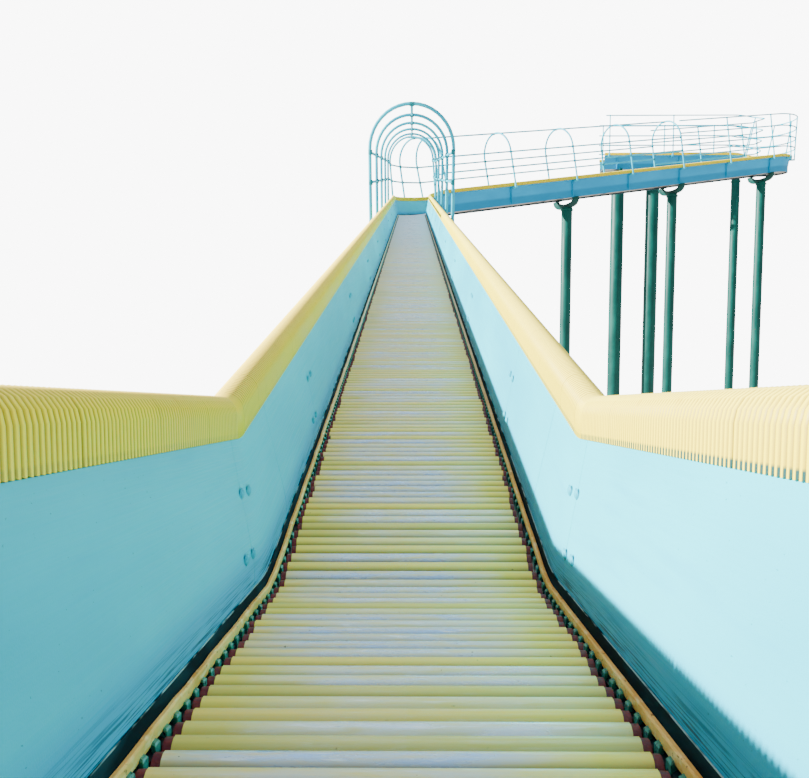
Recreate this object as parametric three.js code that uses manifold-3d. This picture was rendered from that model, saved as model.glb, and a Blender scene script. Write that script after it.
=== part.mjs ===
// A park roller slide on steel columns, in millimetres, +Z up.
// The exit is at the front. The bed climbs along +Y, bends right, climbs on under
// hoops, turns back on itself and ends as a level walkway with a flange for a tower.
// The origin is on the ground, at the centre of the front foot's underside.
import * as THREE from "three";
import { mergeVertices } from "three/addons/utils/BufferGeometryUtils.js";
import Module from "manifold-3d";

const wasm = await Module();
wasm.setup();

// Driving dimensions: the route, by plan distance from the exit lip
const EXIT_TO_FOOT = 150;
const EXIT_HEIGHT = 350;
const RUN_OUT_END = 1980;
const SLOPE_START = 1655;
const LONG_RUN_END = 18800;
const BEND_RADIUS = 1300;
const BEND_DEGREES = 57.2;
const UPPER_RUN_LENGTH = 12050;
const U_TURN_RADIUS = 900;
const U_TURN_DEGREES = -147.2;
const WALKWAY_LENGTH = 4200;

// Slopes of the long run, the bend, the upper run and the turn, in degrees
const LONG_RUN_SLOPE = 14.64;
const BEND_SLOPE = 13.5;
const UPPER_RUN_SLOPE = 12.2;
const U_TURN_SLOPE = 11.5;

// The trough's cross-section: x from the centre line, y up from the roller tops
const SEAM = 0.3;
const WALL_SEAM = 0.7;
const RAIL_INNER = 289;
const RAIL_OUTER = 309;
const RAIL_BOTTOM = -78;
const RAIL_TOP = -2;
const WALL_THICKNESS = 6;
const FUSE_DEPTH = 8;
const WALL_KNEE = 81;
const WALL_TOP_X = 352.2;
const WALL_OUTER_TOP_X = WALL_TOP_X + 5.3;
const WALL_TOP = 322;
const WALL_LIP_X = 402;
const GUARD_INNER = 349;
const GUARD_OUTER = 425;
const GUARD_SHOULDER = 372;

// Rollers
const ROLLER_RADIUS = 21.35;
const ROLLER_PITCH = 46;
const BEND_INNER_PITCH = 43.6;
const TUBE_HALF_LENGTH = 275;
const CAP_HALF_LENGTH = 287;
const CAP_RADIUS = 20;
const AXLE_RADIUS = 6;
const AXLE_HALF_LENGTH = 300;
const AXLE_BORE_RADIUS = 6.5;
const ROLLER_SIDES = 12;
const ROLLER_VALLEY = -15;
const FIRST_TURNING_ROLLER = 17;
const TURNING_ROLLERS = 4;

// Ties and plates
const TIE_SPACING = 1930;
const TIE_WIDTH = 60;
const TIE_TOP = -66;
const TIE_THICKNESS = 10;
const PANEL_LENGTH = 1930;
const DECK_TOP = -6;
const DECK_BOTTOM = -30;
const END_PLATE_THICKNESS = 12;
const START_FLANGE_DEPTH = 126;
const EXIT_PLATE_GAP = 4;

// Hoops and railings
const HOOP_HALF_WIDTH = 490;
const HOOP_SPRINGING = 1110;
const HOOP_FOOT = 270;
const HOOP_BAR_HALF = 19;
const RAIL_BAR_HALF = 15;
const BAR_MARGIN = 2;
const SIDE_RAIL_HEIGHTS = [745, 1080];
const RAILING_HEIGHTS = [600, 880, 1180, 1500];
const RAILING_TOP = 1517;
const TUNNEL_FIRST_HOOP = 10470;
const TUNNEL_HOOPS = 5;
const UPPER_HOOPS = 4;
const TURN_POST_SHARES = [0.1, 0.3, 0.5, 0.7, 0.9];
const WALKWAY_POST_SHARES = [0.12, 0.5, 0.97];
const BRACKET_WIDTH = 60;
const BRACKET_BEND_CLEARANCE = 4.2;
const BRACKET_TURN_CLEARANCE = 4.7;
const BRACKET_INNER_FOOT = 350.2;
const BRACKET_INNER_TOP = 358;

// Columns and the stand under the run-out
const COLUMN_RADIUS = 133.7;
const WALKWAY_COLUMN_RADIUS = 203.2;
const YOKE_THICKNESS = 90;
const YOKE_HALF_WIDTH = 420;
const YOKE_FOOT = -300;
const YOKE_SHOULDER = -120;
const YOKE_FOOT_MARGIN = 6;
const YOKE_ARM = 90;
const YOKE_WEB = 40;
const COLUMN_SIDES = 12;
const COLUMN_HEAD = 20;
const COLUMN_FOOT = 2;
const BASE_PLATE_THICKNESS = 22;
const BASE_PLATE_MARGIN = 92;
const LONG_RUN_COLUMNS = [4680, 8540, 12400, 16260];
const UPPER_RUN_COLUMN_OFFSETS = [3860, 7710, 11560];
const TURN_COLUMN_SHARE = 0.95;
const WALKWAY_COLUMN_OFFSETS = [2570, 3680];
const STAND_POSTS = [EXIT_TO_FOOT, 1300];
const STAND_BEARERS = [60, 1460];

const radians = THREE.MathUtils.degToRad;
const arcLength = (radius, degrees) => radius * radians(Math.abs(degrees));

const BEND_END = LONG_RUN_END + arcLength(BEND_RADIUS, BEND_DEGREES);
const UPPER_RUN_END = BEND_END + UPPER_RUN_LENGTH;
const U_TURN_END = UPPER_RUN_END + arcLength(U_TURN_RADIUS, U_TURN_DEGREES);
const WALKWAY_END = U_TURN_END + WALKWAY_LENGTH;

const BEND = {
  curvature: 1 / BEND_RADIUS,
  panels: 6,
  bracketClearance: BRACKET_BEND_CLEARANCE,
};
const U_TURN = {
  curvature: -1 / U_TURN_RADIUS,
  panels: 18,
  bracketClearance: BRACKET_TURN_CLEARANCE,
};
const SECTIONS = [
  { name: "run_out", from: 0, to: RUN_OUT_END },
  { name: "long_run", from: RUN_OUT_END, to: LONG_RUN_END },
  { name: "bend", from: LONG_RUN_END, to: BEND_END, ...BEND },
  { name: "upper_run", from: BEND_END, to: UPPER_RUN_END },
  { name: "u_turn", from: UPPER_RUN_END, to: U_TURN_END, ...U_TURN },
  { name: "walkway", from: U_TURN_END, to: WALKWAY_END },
];
const section = Object.fromEntries(SECTIONS.map((s) => [s.name, s]));

// Changes of slope on the straights, each eased by a vertical curve of its radius
const grade = (degrees) => Math.tan(radians(degrees));
const change = (from, to) => grade(to) - grade(from);
const BREAKS = [
  { at: SLOPE_START, change: change(0, LONG_RUN_SLOPE), radius: 600, steps: 4 },
  { at: LONG_RUN_END - 60, change: change(LONG_RUN_SLOPE, BEND_SLOPE), radius: 3000, steps: 2 },
  { at: BEND_END + 60, change: change(BEND_SLOPE, UPPER_RUN_SLOPE), radius: 3000, steps: 2 },
  { at: UPPER_RUN_END - 60, change: change(UPPER_RUN_SLOPE, U_TURN_SLOPE), radius: 3000, steps: 2 },
  { at: U_TURN_END + 140, change: change(U_TURN_SLOPE, 0), radius: 1000, steps: 4 },
];
for (const easing of BREAKS) easing.half = (easing.radius * Math.abs(easing.change)) / 2;

// The unit vector to the rider's left-to-right side, for a heading clockwise from +Y
const sideOf = (heading) => new THREE.Vector3(Math.cos(heading), -Math.sin(heading), 0);

// The centre line in plan: place and heading at a distance
function planAt(distance) {
  const place = new THREE.Vector3(0, -EXIT_TO_FOOT, 0);
  let heading = 0;
  for (const { from, to, curvature = 0 } of SECTIONS) {
    const travelled = Math.min(distance, to) - from;
    if (travelled <= 0) break;
    if (curvature === 0) {
      place.x += Math.sin(heading) * travelled;
      place.y += Math.cos(heading) * travelled;
      continue;
    }
    place.addScaledVector(sideOf(heading), 1 / curvature);
    heading += travelled * curvature;
    place.addScaledVector(sideOf(heading), -1 / curvature);
  }
  return { place, heading };
}

// Height of the roller tops and their slope at a distance
function profileAt(distance) {
  let height = EXIT_HEIGHT;
  let slope = 0;
  for (const { at: middle, change: added, half } of BREAKS) {
    const past = distance - middle;
    if (past >= half) {
      height += added * past;
      slope += added;
    } else if (past > -half) {
      height += (added * (past + half) ** 2) / (4 * half);
      slope += (added * (past + half)) / (2 * half);
    }
  }
  return { height, slope };
}

// The cross-section's frame at a distance: side is to the right, up is square to the bed
function trueFrame(distance) {
  const { place, heading } = planAt(distance);
  const { height, slope } = profileAt(distance);
  place.z = height;
  const side = sideOf(heading);
  const ahead = new THREE.Vector3(Math.sin(heading), Math.cos(heading), slope).normalize();
  const up = new THREE.Vector3().crossVectors(side, ahead);
  return { place, side, up, ahead };
}

// Bends are made of short straight panels, so a frame inside one lies between its joints
const arcDegrees = ({ from, to, curvature }) =>
  THREE.MathUtils.radToDeg((to - from) * Math.abs(curvature));
const arcSteps = (arc, degrees) => (degrees ? Math.ceil(arcDegrees(arc) / degrees) : arc.panels);
const arcAt = (distance) => SECTIONS.find((s) => s.curvature && distance >= s.from && distance <= s.to);

function frameAt(distance) {
  const arc = arcAt(distance);
  if (!arc) return trueFrame(distance);
  const steps = arcSteps(arc);
  const step = (arc.to - arc.from) / steps;
  const index = Math.min(Math.floor((distance - arc.from) / step), steps - 1);
  const share = (distance - arc.from) / step - index;
  const before = trueFrame(arc.from + index * step);
  const after = trueFrame(arc.from + (index + 1) * step);
  for (const key of ["place", "side", "up", "ahead"]) before[key].lerp(after[key], share);
  return before;
}

// A point of the cross-section, in the part's frame
function at(distance, x, y) {
  const { place, side, up } = frameAt(distance);
  return place.addScaledVector(side, x).addScaledVector(up, y);
}

// Where a swept piece needs a station: its ends, slope changes and steps round the bends
const LEAST_STATION_GAP = 8;
function stations(from, to, degrees) {
  const first = from + SEAM / 2;
  const last = to - SEAM / 2;
  const inner = [];
  for (const { at: centre, half, steps } of BREAKS) {
    for (let i = 0; i <= steps; i++) inner.push(centre + half * ((2 * i) / steps - 1));
  }
  for (const arc of SECTIONS.filter((s) => s.curvature)) {
    const steps = arcSteps(arc, degrees);
    for (let i = 0; i <= steps; i++) inner.push(arc.from + ((arc.to - arc.from) * i) / steps);
  }
  const places = [first];
  for (const place of inner.sort((a, b) => a - b)) {
    const clearOfEnds = place < last - LEAST_STATION_GAP;
    if (place > places.at(-1) + LEAST_STATION_GAP && clearOfEnds) places.push(place);
  }
  return [...places, last];
}

const outline = (points) => new THREE.Shape(points.map(([x, y]) => new THREE.Vector2(x, y)));
const mirrored = (points) => points.map(([x, y]) => [-x, y]).reverse();

// The same faces seen from their other side
function turnFaces(position) {
  for (let i = 0; i < position.count; i += 3) {
    const [x, y, z] = [position.getX(i), position.getY(i), position.getZ(i)];
    position.setXYZ(i, position.getX(i + 1), position.getY(i + 1), position.getZ(i + 1));
    position.setXYZ(i + 1, x, y, z);
  }
}

// A cross-section swept along the route. topAt may lower the top edge at each station.
// A left-hand bend is made as the mirror image of a right-hand one, so that the folds of
// its twisted faces lie the same way.
function sweep(points, distances, topAt = (y) => y) {
  const steps = distances.length - 1;
  const options = { depth: steps, steps, bevelEnabled: false };
  const leftHanded = distances.some((place) => arcAt(place)?.curvature < 0);
  const shape = outline(leftHanded ? mirrored(points) : points);
  const geometry = new THREE.ExtrudeGeometry(shape, options);
  const frames = distances.map(frameAt).reverse();
  const position = geometry.getAttribute("position");
  for (let i = 0; i < position.count; i++) {
    const station = Math.round(position.getZ(i));
    const { place, side, up } = frames[station];
    const x = leftHanded ? -position.getX(i) : position.getX(i);
    const point = place.clone().addScaledVector(side, x);
    point.addScaledVector(up, topAt(position.getY(i), steps - station));
    position.setXYZ(i, point.x, point.y, point.z);
  }
  if (leftHanded) turnFaces(position);
  return geometry;
}

// A flat plate cut to a cross-section shape, standing square to the bed
function plateAcross(points, distance, thickness, hole) {
  const shape = outline(points);
  if (hole) shape.holes.push(outline(hole));
  const geometry = new THREE.ExtrudeGeometry(shape, { depth: thickness, bevelEnabled: false });
  const { place, side, up, ahead } = frameAt(distance);
  for (const direction of [side, up, ahead]) direction.normalize();
  const basis = new THREE.Matrix4().makeBasis(side, up, ahead.clone().negate());
  basis.setPosition(place.addScaledVector(ahead, thickness / 2));
  return geometry.applyMatrix4(basis);
}

// A round bar between two points
function pipe(from, to, radius, sides) {
  const along = new THREE.Vector3().subVectors(to, from);
  const geometry = new THREE.CylinderGeometry(radius, radius, along.length(), sides);
  const turn = new THREE.Quaternion().setFromUnitVectors(
    new THREE.Vector3(0, 1, 0),
    along.clone().normalize(),
  );
  geometry.applyQuaternion(turn);
  const middle = from.clone().add(to).multiplyScalar(0.5);
  return geometry.translate(middle.x, middle.y, middle.z);
}

// A box from its lowest to its highest corner
function block(low, high) {
  const size = high.map((value, i) => value - low[i]);
  const geometry = new THREE.BoxGeometry(...size);
  return geometry.translate(...low.map((value, i) => value + size[i] / 2));
}

// Boolean joins and cuts
const WELD = 1e-3;
function solidOf(geometry) {
  const bare = geometry.clone();
  bare.deleteAttribute("normal");
  bare.deleteAttribute("uv");
  const merged = mergeVertices(bare, WELD);
  const vertProperties = new Float32Array(merged.getAttribute("position").array);
  const triVerts = new Uint32Array(merged.index.array);
  return new wasm.Manifold(new wasm.Mesh({ numProp: 3, vertProperties, triVerts }));
}

function geometryOf(solid) {
  const mesh = solid.getMesh();
  const geometry = new THREE.BufferGeometry();
  geometry.setAttribute("position", new THREE.BufferAttribute(mesh.vertProperties, 3));
  geometry.setIndex(new THREE.BufferAttribute(mesh.triVerts, 1));
  const faceted = geometry.toNonIndexed();
  faceted.computeVertexNormals();
  return faceted;
}

const joined = (pieces) => pieces.map(solidOf).reduce((whole, piece) => whole.add(piece));
const fuse = (...pieces) => geometryOf(joined(pieces));

// Materials, with the finish seen in daylight
const finish = (color, roughness, metalness = 0) =>
  new THREE.MeshStandardMaterial({ color, roughness, metalness });
const WALL_PAINT = finish(0x35ccd8, 0.45);
const GUARD_RUBBER = finish(0xf2e85c, 0.6);
const ROLLER_TUBE = finish(0xcdc47e, 0.5);
const FRAME_STEEL = finish(0x17525c, 0.6, 0.3);
const CAGE_PAINT = finish(0x5ad7e1, 0.4);
const COLUMN_PAINT = finish(0x008f7c, 0.4);
const DECK_PLATE = finish(0x8a9294, 0.6, 0.6);

const slide = new THREE.Group();
function add(name, geometry, material) {
  const mesh = new THREE.Mesh(geometry, material);
  mesh.name = name;
  slide.add(mesh);
}

// Places spaced along a run, the first and last half a space from its ends
function spaced(from, to, spacing) {
  const count = Math.max(1, Math.round((to - from) / spacing));
  const step = (to - from) / count;
  return Array.from({ length: count }, (_, i) => from + step * (i + 0.5));
}

// Frame: two side rails that carry the axles, tied across underneath
const RAIL_PROFILE = [
  [RAIL_INNER, RAIL_BOTTOM],
  [RAIL_OUTER, RAIL_BOTTOM],
  [RAIL_OUTER, RAIL_TOP],
  [RAIL_INNER, RAIL_TOP],
];

function crossTie(distance, top) {
  const reach = RAIL_INNER + FUSE_DEPTH;
  const low = top - TIE_THICKNESS;
  const points = [[-reach, low], [reach, low], [reach, top], [-reach, top]];
  return plateAcross(points, distance, TIE_WIDTH);
}

function frame({ name, from, to }) {
  const places = stations(from, to);
  const tieTop = name === "walkway" ? DECK_BOTTOM - SEAM : TIE_TOP;
  const pieces = [sweep(RAIL_PROFILE, places), sweep(mirrored(RAIL_PROFILE), places)];
  for (const place of spaced(from, to, TIE_SPACING)) pieces.push(crossTie(place, tieTop));
  return pieces;
}

// A plate across the end of the trough, fused between the rails
function endPlate(distance, low, high) {
  const reach = RAIL_INNER + FUSE_DEPTH;
  return plateAcross(
    [[-reach, low], [reach, low], [reach, high], [-reach, high]],
    distance,
    END_PLATE_THICKNESS,
  );
}

// Wall: a pressed plate, upright at the rail, leaning out above and turned out at its top
const WALL_INNER = RAIL_OUTER + WALL_SEAM;
const WALL_PROFILE = [
  [WALL_INNER, RAIL_BOTTOM],
  [WALL_INNER + WALL_THICKNESS, RAIL_BOTTOM],
  [WALL_INNER + WALL_THICKNESS, WALL_KNEE - 0.5],
  [WALL_OUTER_TOP_X, WALL_TOP - WALL_THICKNESS],
  [WALL_LIP_X, WALL_TOP - WALL_THICKNESS],
  [WALL_LIP_X, WALL_TOP],
  [WALL_TOP_X, WALL_TOP],
  [WALL_INNER, WALL_KNEE],
];

// Guard: a rounded cap along the wall's top
const GUARD_ARC_STEPS = 5;
function guardProfile() {
  const radius = (GUARD_OUTER - GUARD_INNER) / 2;
  const middle = GUARD_INNER + radius;
  const foot = WALL_TOP + WALL_SEAM;
  const points = [[GUARD_INNER, foot], [GUARD_OUTER, foot]];
  for (let i = 0; i <= GUARD_ARC_STEPS; i++) {
    const angle = (Math.PI * i) / GUARD_ARC_STEPS;
    points.push([middle + radius * Math.cos(angle), GUARD_SHOULDER + radius * Math.sin(angle)]);
  }
  return points;
}
const GUARD_PROFILE = guardProfile();

// Roller bed on a straight run: crests at the roller tops, one ridge for each roller
const BED_HALF_WIDTH = RAIL_INNER - SEAM;
const BED_BOTTOM = -2 * ROLLER_RADIUS;

function slopeLength(from, to) {
  return Math.hypot(to - from, profileAt(to).height - profileAt(from).height);
}

const rollerCount = (from, to) => Math.round(slopeLength(from, to) / ROLLER_PITCH);

// A closed band between an upper and a lower chain of points on the run's centre plane
function band(upper, lower, { side, ahead }) {
  const level = new THREE.Vector3(ahead.x, ahead.y, 0).normalize();
  const positions = [];
  const left = (point) => point.clone().addScaledVector(side, -BED_HALF_WIDTH);
  const right = (point) => point.clone().addScaledVector(side, BED_HALF_WIDTH);
  const face = (...corners) => corners.forEach((corner) => positions.push(...corner));
  const across = (a, b) => {
    face(left(a), right(a), right(b));
    face(left(a), right(b), left(b));
  };
  const flanks = (a, b, c) => {
    face(right(a), right(b), right(c));
    face(left(a), left(c), left(b));
  };
  let i = 0;
  let j = 0;
  while (i < upper.length - 1 || j < lower.length - 1) {
    const middle = lower[j + 1]?.clone().add(lower[j]).multiplyScalar(0.5);
    const upperFirst = !middle || (upper[i + 1] && upper[i + 1].dot(level) <= middle.dot(level));
    if (upperFirst) {
      flanks(lower[j], upper[i + 1], upper[i]);
      across(upper[i], upper[i + 1]);
      i += 1;
    } else {
      flanks(lower[j], lower[j + 1], upper[i]);
      across(lower[j + 1], lower[j]);
      j += 1;
    }
  }
  across(lower[0], upper[0]);
  across(upper.at(-1), lower.at(-1));
  const geometry = new THREE.BufferGeometry();
  geometry.setAttribute("position", new THREE.Float32BufferAttribute(positions, 3));
  geometry.computeVertexNormals();
  return geometry;
}

const ROLLERS_PER_FLANK_STEP = 6;
function ridgedStrip(from, to, count) {
  const first = from + SEAM / 2;
  const last = to - SEAM / 2;
  const step = (to - from) / count;
  const upper = [at(first, 0, ROLLER_VALLEY)];
  const lowerPlaces = stations(from, to);
  for (let i = 0; i < count; i++) {
    upper.push(at(from + (i + 0.5) * step, 0, 0));
    upper.push(at(Math.min(from + (i + 1) * step, last), 0, ROLLER_VALLEY));
    if (i % ROLLERS_PER_FLANK_STEP === 0 && i > 0) lowerPlaces.push(from + i * step);
  }
  lowerPlaces.sort((a, b) => a - b);
  const apart = (place, i, all) => i === 0 || place > all[i - 1] + LEAST_STATION_GAP;
  const lower = lowerPlaces.filter(apart).map((place) => at(place, 0, BED_BOTTOM));
  return band(upper, lower, frameAt(from));
}

// Roller bed round a bend: fanned ridges, spaced so that their inner ends stay apart
function bendRollerCount(arc) {
  const radius = 1 / Math.abs(arc.curvature);
  const pitch = (BEND_INNER_PITCH * radius) / (radius - TUBE_HALF_LENGTH);
  const steps = arcSteps(arc);
  return steps * Math.floor(slopeLength(arc.from, arc.to) / steps / pitch);
}

function ridgedBend(arc) {
  const { from, to } = arc;
  const count = bendRollerCount(arc);
  const first = from + SEAM / 2;
  const last = to - SEAM / 2;
  const places = [first];
  for (let i = 1; i < 2 * count; i++) places.push(from + (i * (to - from)) / (2 * count));
  places.push(last);
  const slab = [
    [-BED_HALF_WIDTH, BED_BOTTOM],
    [BED_HALF_WIDTH, BED_BOTTOM],
    [BED_HALF_WIDTH, 0],
    [-BED_HALF_WIDTH, 0],
  ];
  const ridge = (y, station) => (y === 0 && station % 2 === 0 ? ROLLER_VALLEY : y);
  return sweep(slab, places, ridge);
}

// A roller that turns: tube, end caps and axle in one, along X
function turningRoller() {
  const half = [
    [AXLE_RADIUS, AXLE_HALF_LENGTH],
    [AXLE_RADIUS, CAP_HALF_LENGTH],
    [CAP_RADIUS, CAP_HALF_LENGTH],
    [CAP_RADIUS, TUBE_HALF_LENGTH],
    [ROLLER_RADIUS, TUBE_HALF_LENGTH],
  ];
  const lower = half.map(([radius, y]) => [radius, -y]);
  const points = [[0, -AXLE_HALF_LENGTH], ...lower, ...half.reverse(), [0, AXLE_HALF_LENGTH]];
  const profile = points.map(([radius, y]) => new THREE.Vector2(radius, y));
  return new THREE.LatheGeometry(profile, ROLLER_SIDES).rotateZ(-Math.PI / 2);
}

// Hoops: posts bracketed to the walls, arches over them and rails along them
function bracketProfile(clearance) {
  const top = WALL_TOP - WALL_THICKNESS - SEAM - clearance;
  const end = HOOP_HALF_WIDTH + HOOP_BAR_HALF + BAR_MARGIN;
  return [
    [BRACKET_INNER_FOOT + clearance, HOOP_FOOT],
    [end, HOOP_FOOT],
    [end, top],
    [BRACKET_INNER_TOP + clearance, top],
  ];
}
const RAIL_STEP_DEGREES = 19.1;
const ARCH_STEPS = 9;

function post(distance, hand, top) {
  const x = hand * HOOP_HALF_WIDTH;
  const points = bracketProfile(arcAt(distance)?.bracketClearance ?? 0);
  const profile = hand > 0 ? points : mirrored(points);
  const half = HOOP_BAR_HALF;
  const foot = HOOP_FOOT + BAR_MARGIN;
  const bar = [[x - half, foot], [x + half, foot], [x + half, top], [x - half, top]];
  return [plateAcross(bar, distance, 2 * half), plateAcross(profile, distance, BRACKET_WIDTH)];
}

// A half ring over the bed, with its feet at the springing height given
function arch(distance, springing = HOOP_SPRINGING + SEAM) {
  const ring = (radius, steps) =>
    steps.map((i) => {
      const angle = (Math.PI * i) / ARCH_STEPS;
      return [radius * Math.cos(angle), springing + radius * Math.sin(angle)];
    });
  const steps = Array.from({ length: ARCH_STEPS + 1 }, (_, i) => i);
  const outer = ring(HOOP_HALF_WIDTH + HOOP_BAR_HALF, steps);
  const inner = ring(HOOP_HALF_WIDTH - HOOP_BAR_HALF, steps.reverse());
  return plateAcross([...outer, ...inner], distance, 2 * HOOP_BAR_HALF);
}

function railAlong(from, to, x, y) {
  const half = RAIL_BAR_HALF;
  const bar = [[x - half, y - half], [x + half, y - half], [x + half, y + half], [x - half, y + half]];
  return sweep(bar, stations(from, to, RAIL_STEP_DEGREES));
}

const CROWN = HOOP_SPRINGING + HOOP_HALF_WIDTH;

function cageSide(from, hoops, hand) {
  const pieces = hoops.flatMap((place) => post(place, hand, HOOP_SPRINGING));
  for (const height of SIDE_RAIL_HEIGHTS) {
    pieces.push(railAlong(from, hoops.at(-1), hand * HOOP_HALF_WIDTH, height));
  }
  return fuse(...pieces);
}

function cageCrown(from, hoops) {
  return fuse(...hoops.map((place) => arch(place)), railAlong(from, hoops.at(-1), 0, CROWN));
}

function railing(from, to, posts, hand) {
  const pieces = posts.flatMap((place) => post(place, hand, RAILING_TOP));
  for (const height of RAILING_HEIGHTS) {
    pieces.push(railAlong(from, to, hand * HOOP_HALF_WIDTH, height));
  }
  return fuse(...pieces);
}

// How far a flat yoke has to drop to clear the twisted underside of a bend
function twistDrop(distance) {
  const arc = arcAt(distance);
  if (!arc) return 0;
  const reach = RAIL_OUTER + WALL_THICKNESS;
  const radius = 1 / Math.abs(arc.curvature);
  return ((YOKE_THICKNESS / 2) * profileAt(distance).slope * reach) / (radius - reach);
}

// Column: pipe on a base plate, with an open yoke under the trough
function column(distance, radius) {
  const foot = radius + YOKE_FOOT_MARGIN;
  const top = RAIL_BOTTOM - SEAM - twistDrop(distance);
  const yoke = [
    [-YOKE_HALF_WIDTH, top],
    [-YOKE_HALF_WIDTH, YOKE_SHOULDER],
    [-foot, YOKE_FOOT],
    [foot, YOKE_FOOT],
    [YOKE_HALF_WIDTH, YOKE_SHOULDER],
    [YOKE_HALF_WIDTH, top],
  ];
  const arm = YOKE_HALF_WIDTH - YOKE_ARM;
  const opening = [
    [-arm, YOKE_SHOULDER],
    [-foot + YOKE_WEB, YOKE_FOOT + YOKE_WEB],
    [foot - YOKE_WEB, YOKE_FOOT + YOKE_WEB],
    [arm, YOKE_SHOULDER],
  ];
  const head = at(distance, 0, YOKE_FOOT + COLUMN_HEAD);
  const base = new THREE.Vector3(head.x, head.y, COLUMN_FOOT);
  const half = radius + BASE_PLATE_MARGIN;
  return fuse(
    plateAcross(yoke, distance, YOKE_THICKNESS, opening),
    pipe(base, head, radius, COLUMN_SIDES),
    block([head.x - half, head.y - half, 0], [head.x + half, head.y + half, BASE_PLATE_THICKNESS]),
  );
}

// Stand under the run-out: four posts on two cross plates, with a bearer under each rail
const POST_HALF = 30;
const FOOT_HALF_LENGTH = 380;
const FOOT_HALF_WIDTH = 95;
const FOOT_THICKNESS = 16;
const BEARER_DEPTH = 40;
const POST_INSET = 2;
const POST_FOOT = 4;

function stand() {
  const top = EXIT_HEIGHT + RAIL_BOTTOM - SEAM;
  const railMiddle = (RAIL_INNER + RAIL_OUTER) / 2;
  const pieces = [];
  for (const x of [-railMiddle, railMiddle]) {
    const [front, back] = STAND_BEARERS.map((place) => place - EXIT_TO_FOOT);
    pieces.push(block([x - POST_HALF, front, top - BEARER_DEPTH], [x + POST_HALF, back, top]));
    for (const place of STAND_POSTS) {
      const y = place - EXIT_TO_FOOT;
      const low = [x - POST_HALF + POST_INSET, y - POST_HALF, POST_FOOT];
      pieces.push(block(low, [x + POST_HALF - POST_INSET, y + POST_HALF, top - POST_FOOT]));
    }
  }
  for (const place of STAND_POSTS) {
    const y = place - EXIT_TO_FOOT;
    const low = [-FOOT_HALF_LENGTH, y - FOOT_HALF_WIDTH, 0];
    pieces.push(block(low, [FOOT_HALF_LENGTH, y + FOOT_HALF_WIDTH, FOOT_THICKNESS]));
  }
  return fuse(...pieces);
}

// Run-out frame, with the bores of the rollers that turn
const RUN_OUT_ROLLERS = rollerCount(0, RUN_OUT_END);
const rollerPlace = (index) => ((index + 0.5) * RUN_OUT_END) / RUN_OUT_ROLLERS;
const TURNING_FROM = rollerPlace(FIRST_TURNING_ROLLER - 0.5);
const TURNING_TO = rollerPlace(FIRST_TURNING_ROLLER + TURNING_ROLLERS - 0.5);
const turningPlaces = Array.from({ length: TURNING_ROLLERS }, (_, i) =>
  rollerPlace(FIRST_TURNING_ROLLER + i),
);

function runOutFrame() {
  const lip = endPlate(END_PLATE_THICKNESS / 2, RAIL_BOTTOM, BED_BOTTOM - EXIT_PLATE_GAP);
  let solid = joined([...frame(section.run_out), lip]);
  for (const place of turningPlaces) {
    const reach = RAIL_OUTER + FUSE_DEPTH;
    const from = at(place, -reach, -ROLLER_RADIUS);
    const to = at(place, reach, -ROLLER_RADIUS);
    solid = solid.subtract(solidOf(pipe(from, to, AXLE_BORE_RADIUS, ROLLER_SIDES)));
  }
  return geometryOf(solid);
}

function walkwayFrame() {
  const { to } = section.walkway;
  const flangeTop = DECK_BOTTOM - SEAM;
  const flange = endPlate(to - END_PLATE_THICKNESS / 2, flangeTop - START_FLANGE_DEPTH, flangeTop);
  return fuse(...frame(section.walkway), flange);
}

const FRAMES = { run_out: runOutFrame, walkway: walkwayFrame };
for (const place of SECTIONS) {
  const make = FRAMES[place.name] ?? (() => fuse(...frame(place)));
  add(`${place.name}_frame`, make(), FRAME_STEEL);
}

const HANDS = [
  { hand: "left", sign: -1, turned: mirrored },
  { hand: "right", sign: 1, turned: (points) => points },
];
for (const { hand, turned } of HANDS) {
  for (const { name, from, to } of SECTIONS) {
    add(`${name}_wall_${hand}`, sweep(turned(WALL_PROFILE), stations(from, to)), WALL_PAINT);
  }
  const guard = (from, to) => sweep(turned(GUARD_PROFILE), stations(from, to));
  add(`lower_guard_${hand}`, guard(0, LONG_RUN_END), GUARD_RUBBER);
  add(`upper_guard_${hand}`, guard(LONG_RUN_END, UPPER_RUN_END), GUARD_RUBBER);
  add(`start_guard_${hand}`, guard(UPPER_RUN_END, WALKWAY_END), GUARD_RUBBER);
}

// Beds
const exitRollers = FIRST_TURNING_ROLLER;
const innerRollers = RUN_OUT_ROLLERS - FIRST_TURNING_ROLLER - TURNING_ROLLERS;
add("exit_roller_bed", ridgedStrip(0, TURNING_FROM, exitRollers), ROLLER_TUBE);
add("run_out_roller_bed", ridgedStrip(TURNING_TO, RUN_OUT_END, innerRollers), ROLLER_TUBE);
for (const name of ["long_run", "upper_run"]) {
  const { from, to } = section[name];
  add(`${name}_roller_bed`, ridgedStrip(from, to, rollerCount(from, to)), ROLLER_TUBE);
}
for (const name of ["bend", "u_turn"]) {
  add(`${name}_roller_bed`, ridgedBend(section[name]), ROLLER_TUBE);
}
const deck = [
  [-BED_HALF_WIDTH, DECK_BOTTOM],
  [BED_HALF_WIDTH, DECK_BOTTOM],
  [BED_HALF_WIDTH, DECK_TOP],
  [-BED_HALF_WIDTH, DECK_TOP],
];
add("walkway_deck", sweep(deck, stations(section.walkway.from, section.walkway.to)), DECK_PLATE);
turningPlaces.forEach((place, index) => {
  const centre = at(place, 0, -ROLLER_RADIUS);
  const roller = turningRoller().translate(centre.x, centre.y, centre.z);
  add(`turning_roller_${index + 1}`, roller, ROLLER_TUBE);
});

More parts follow.
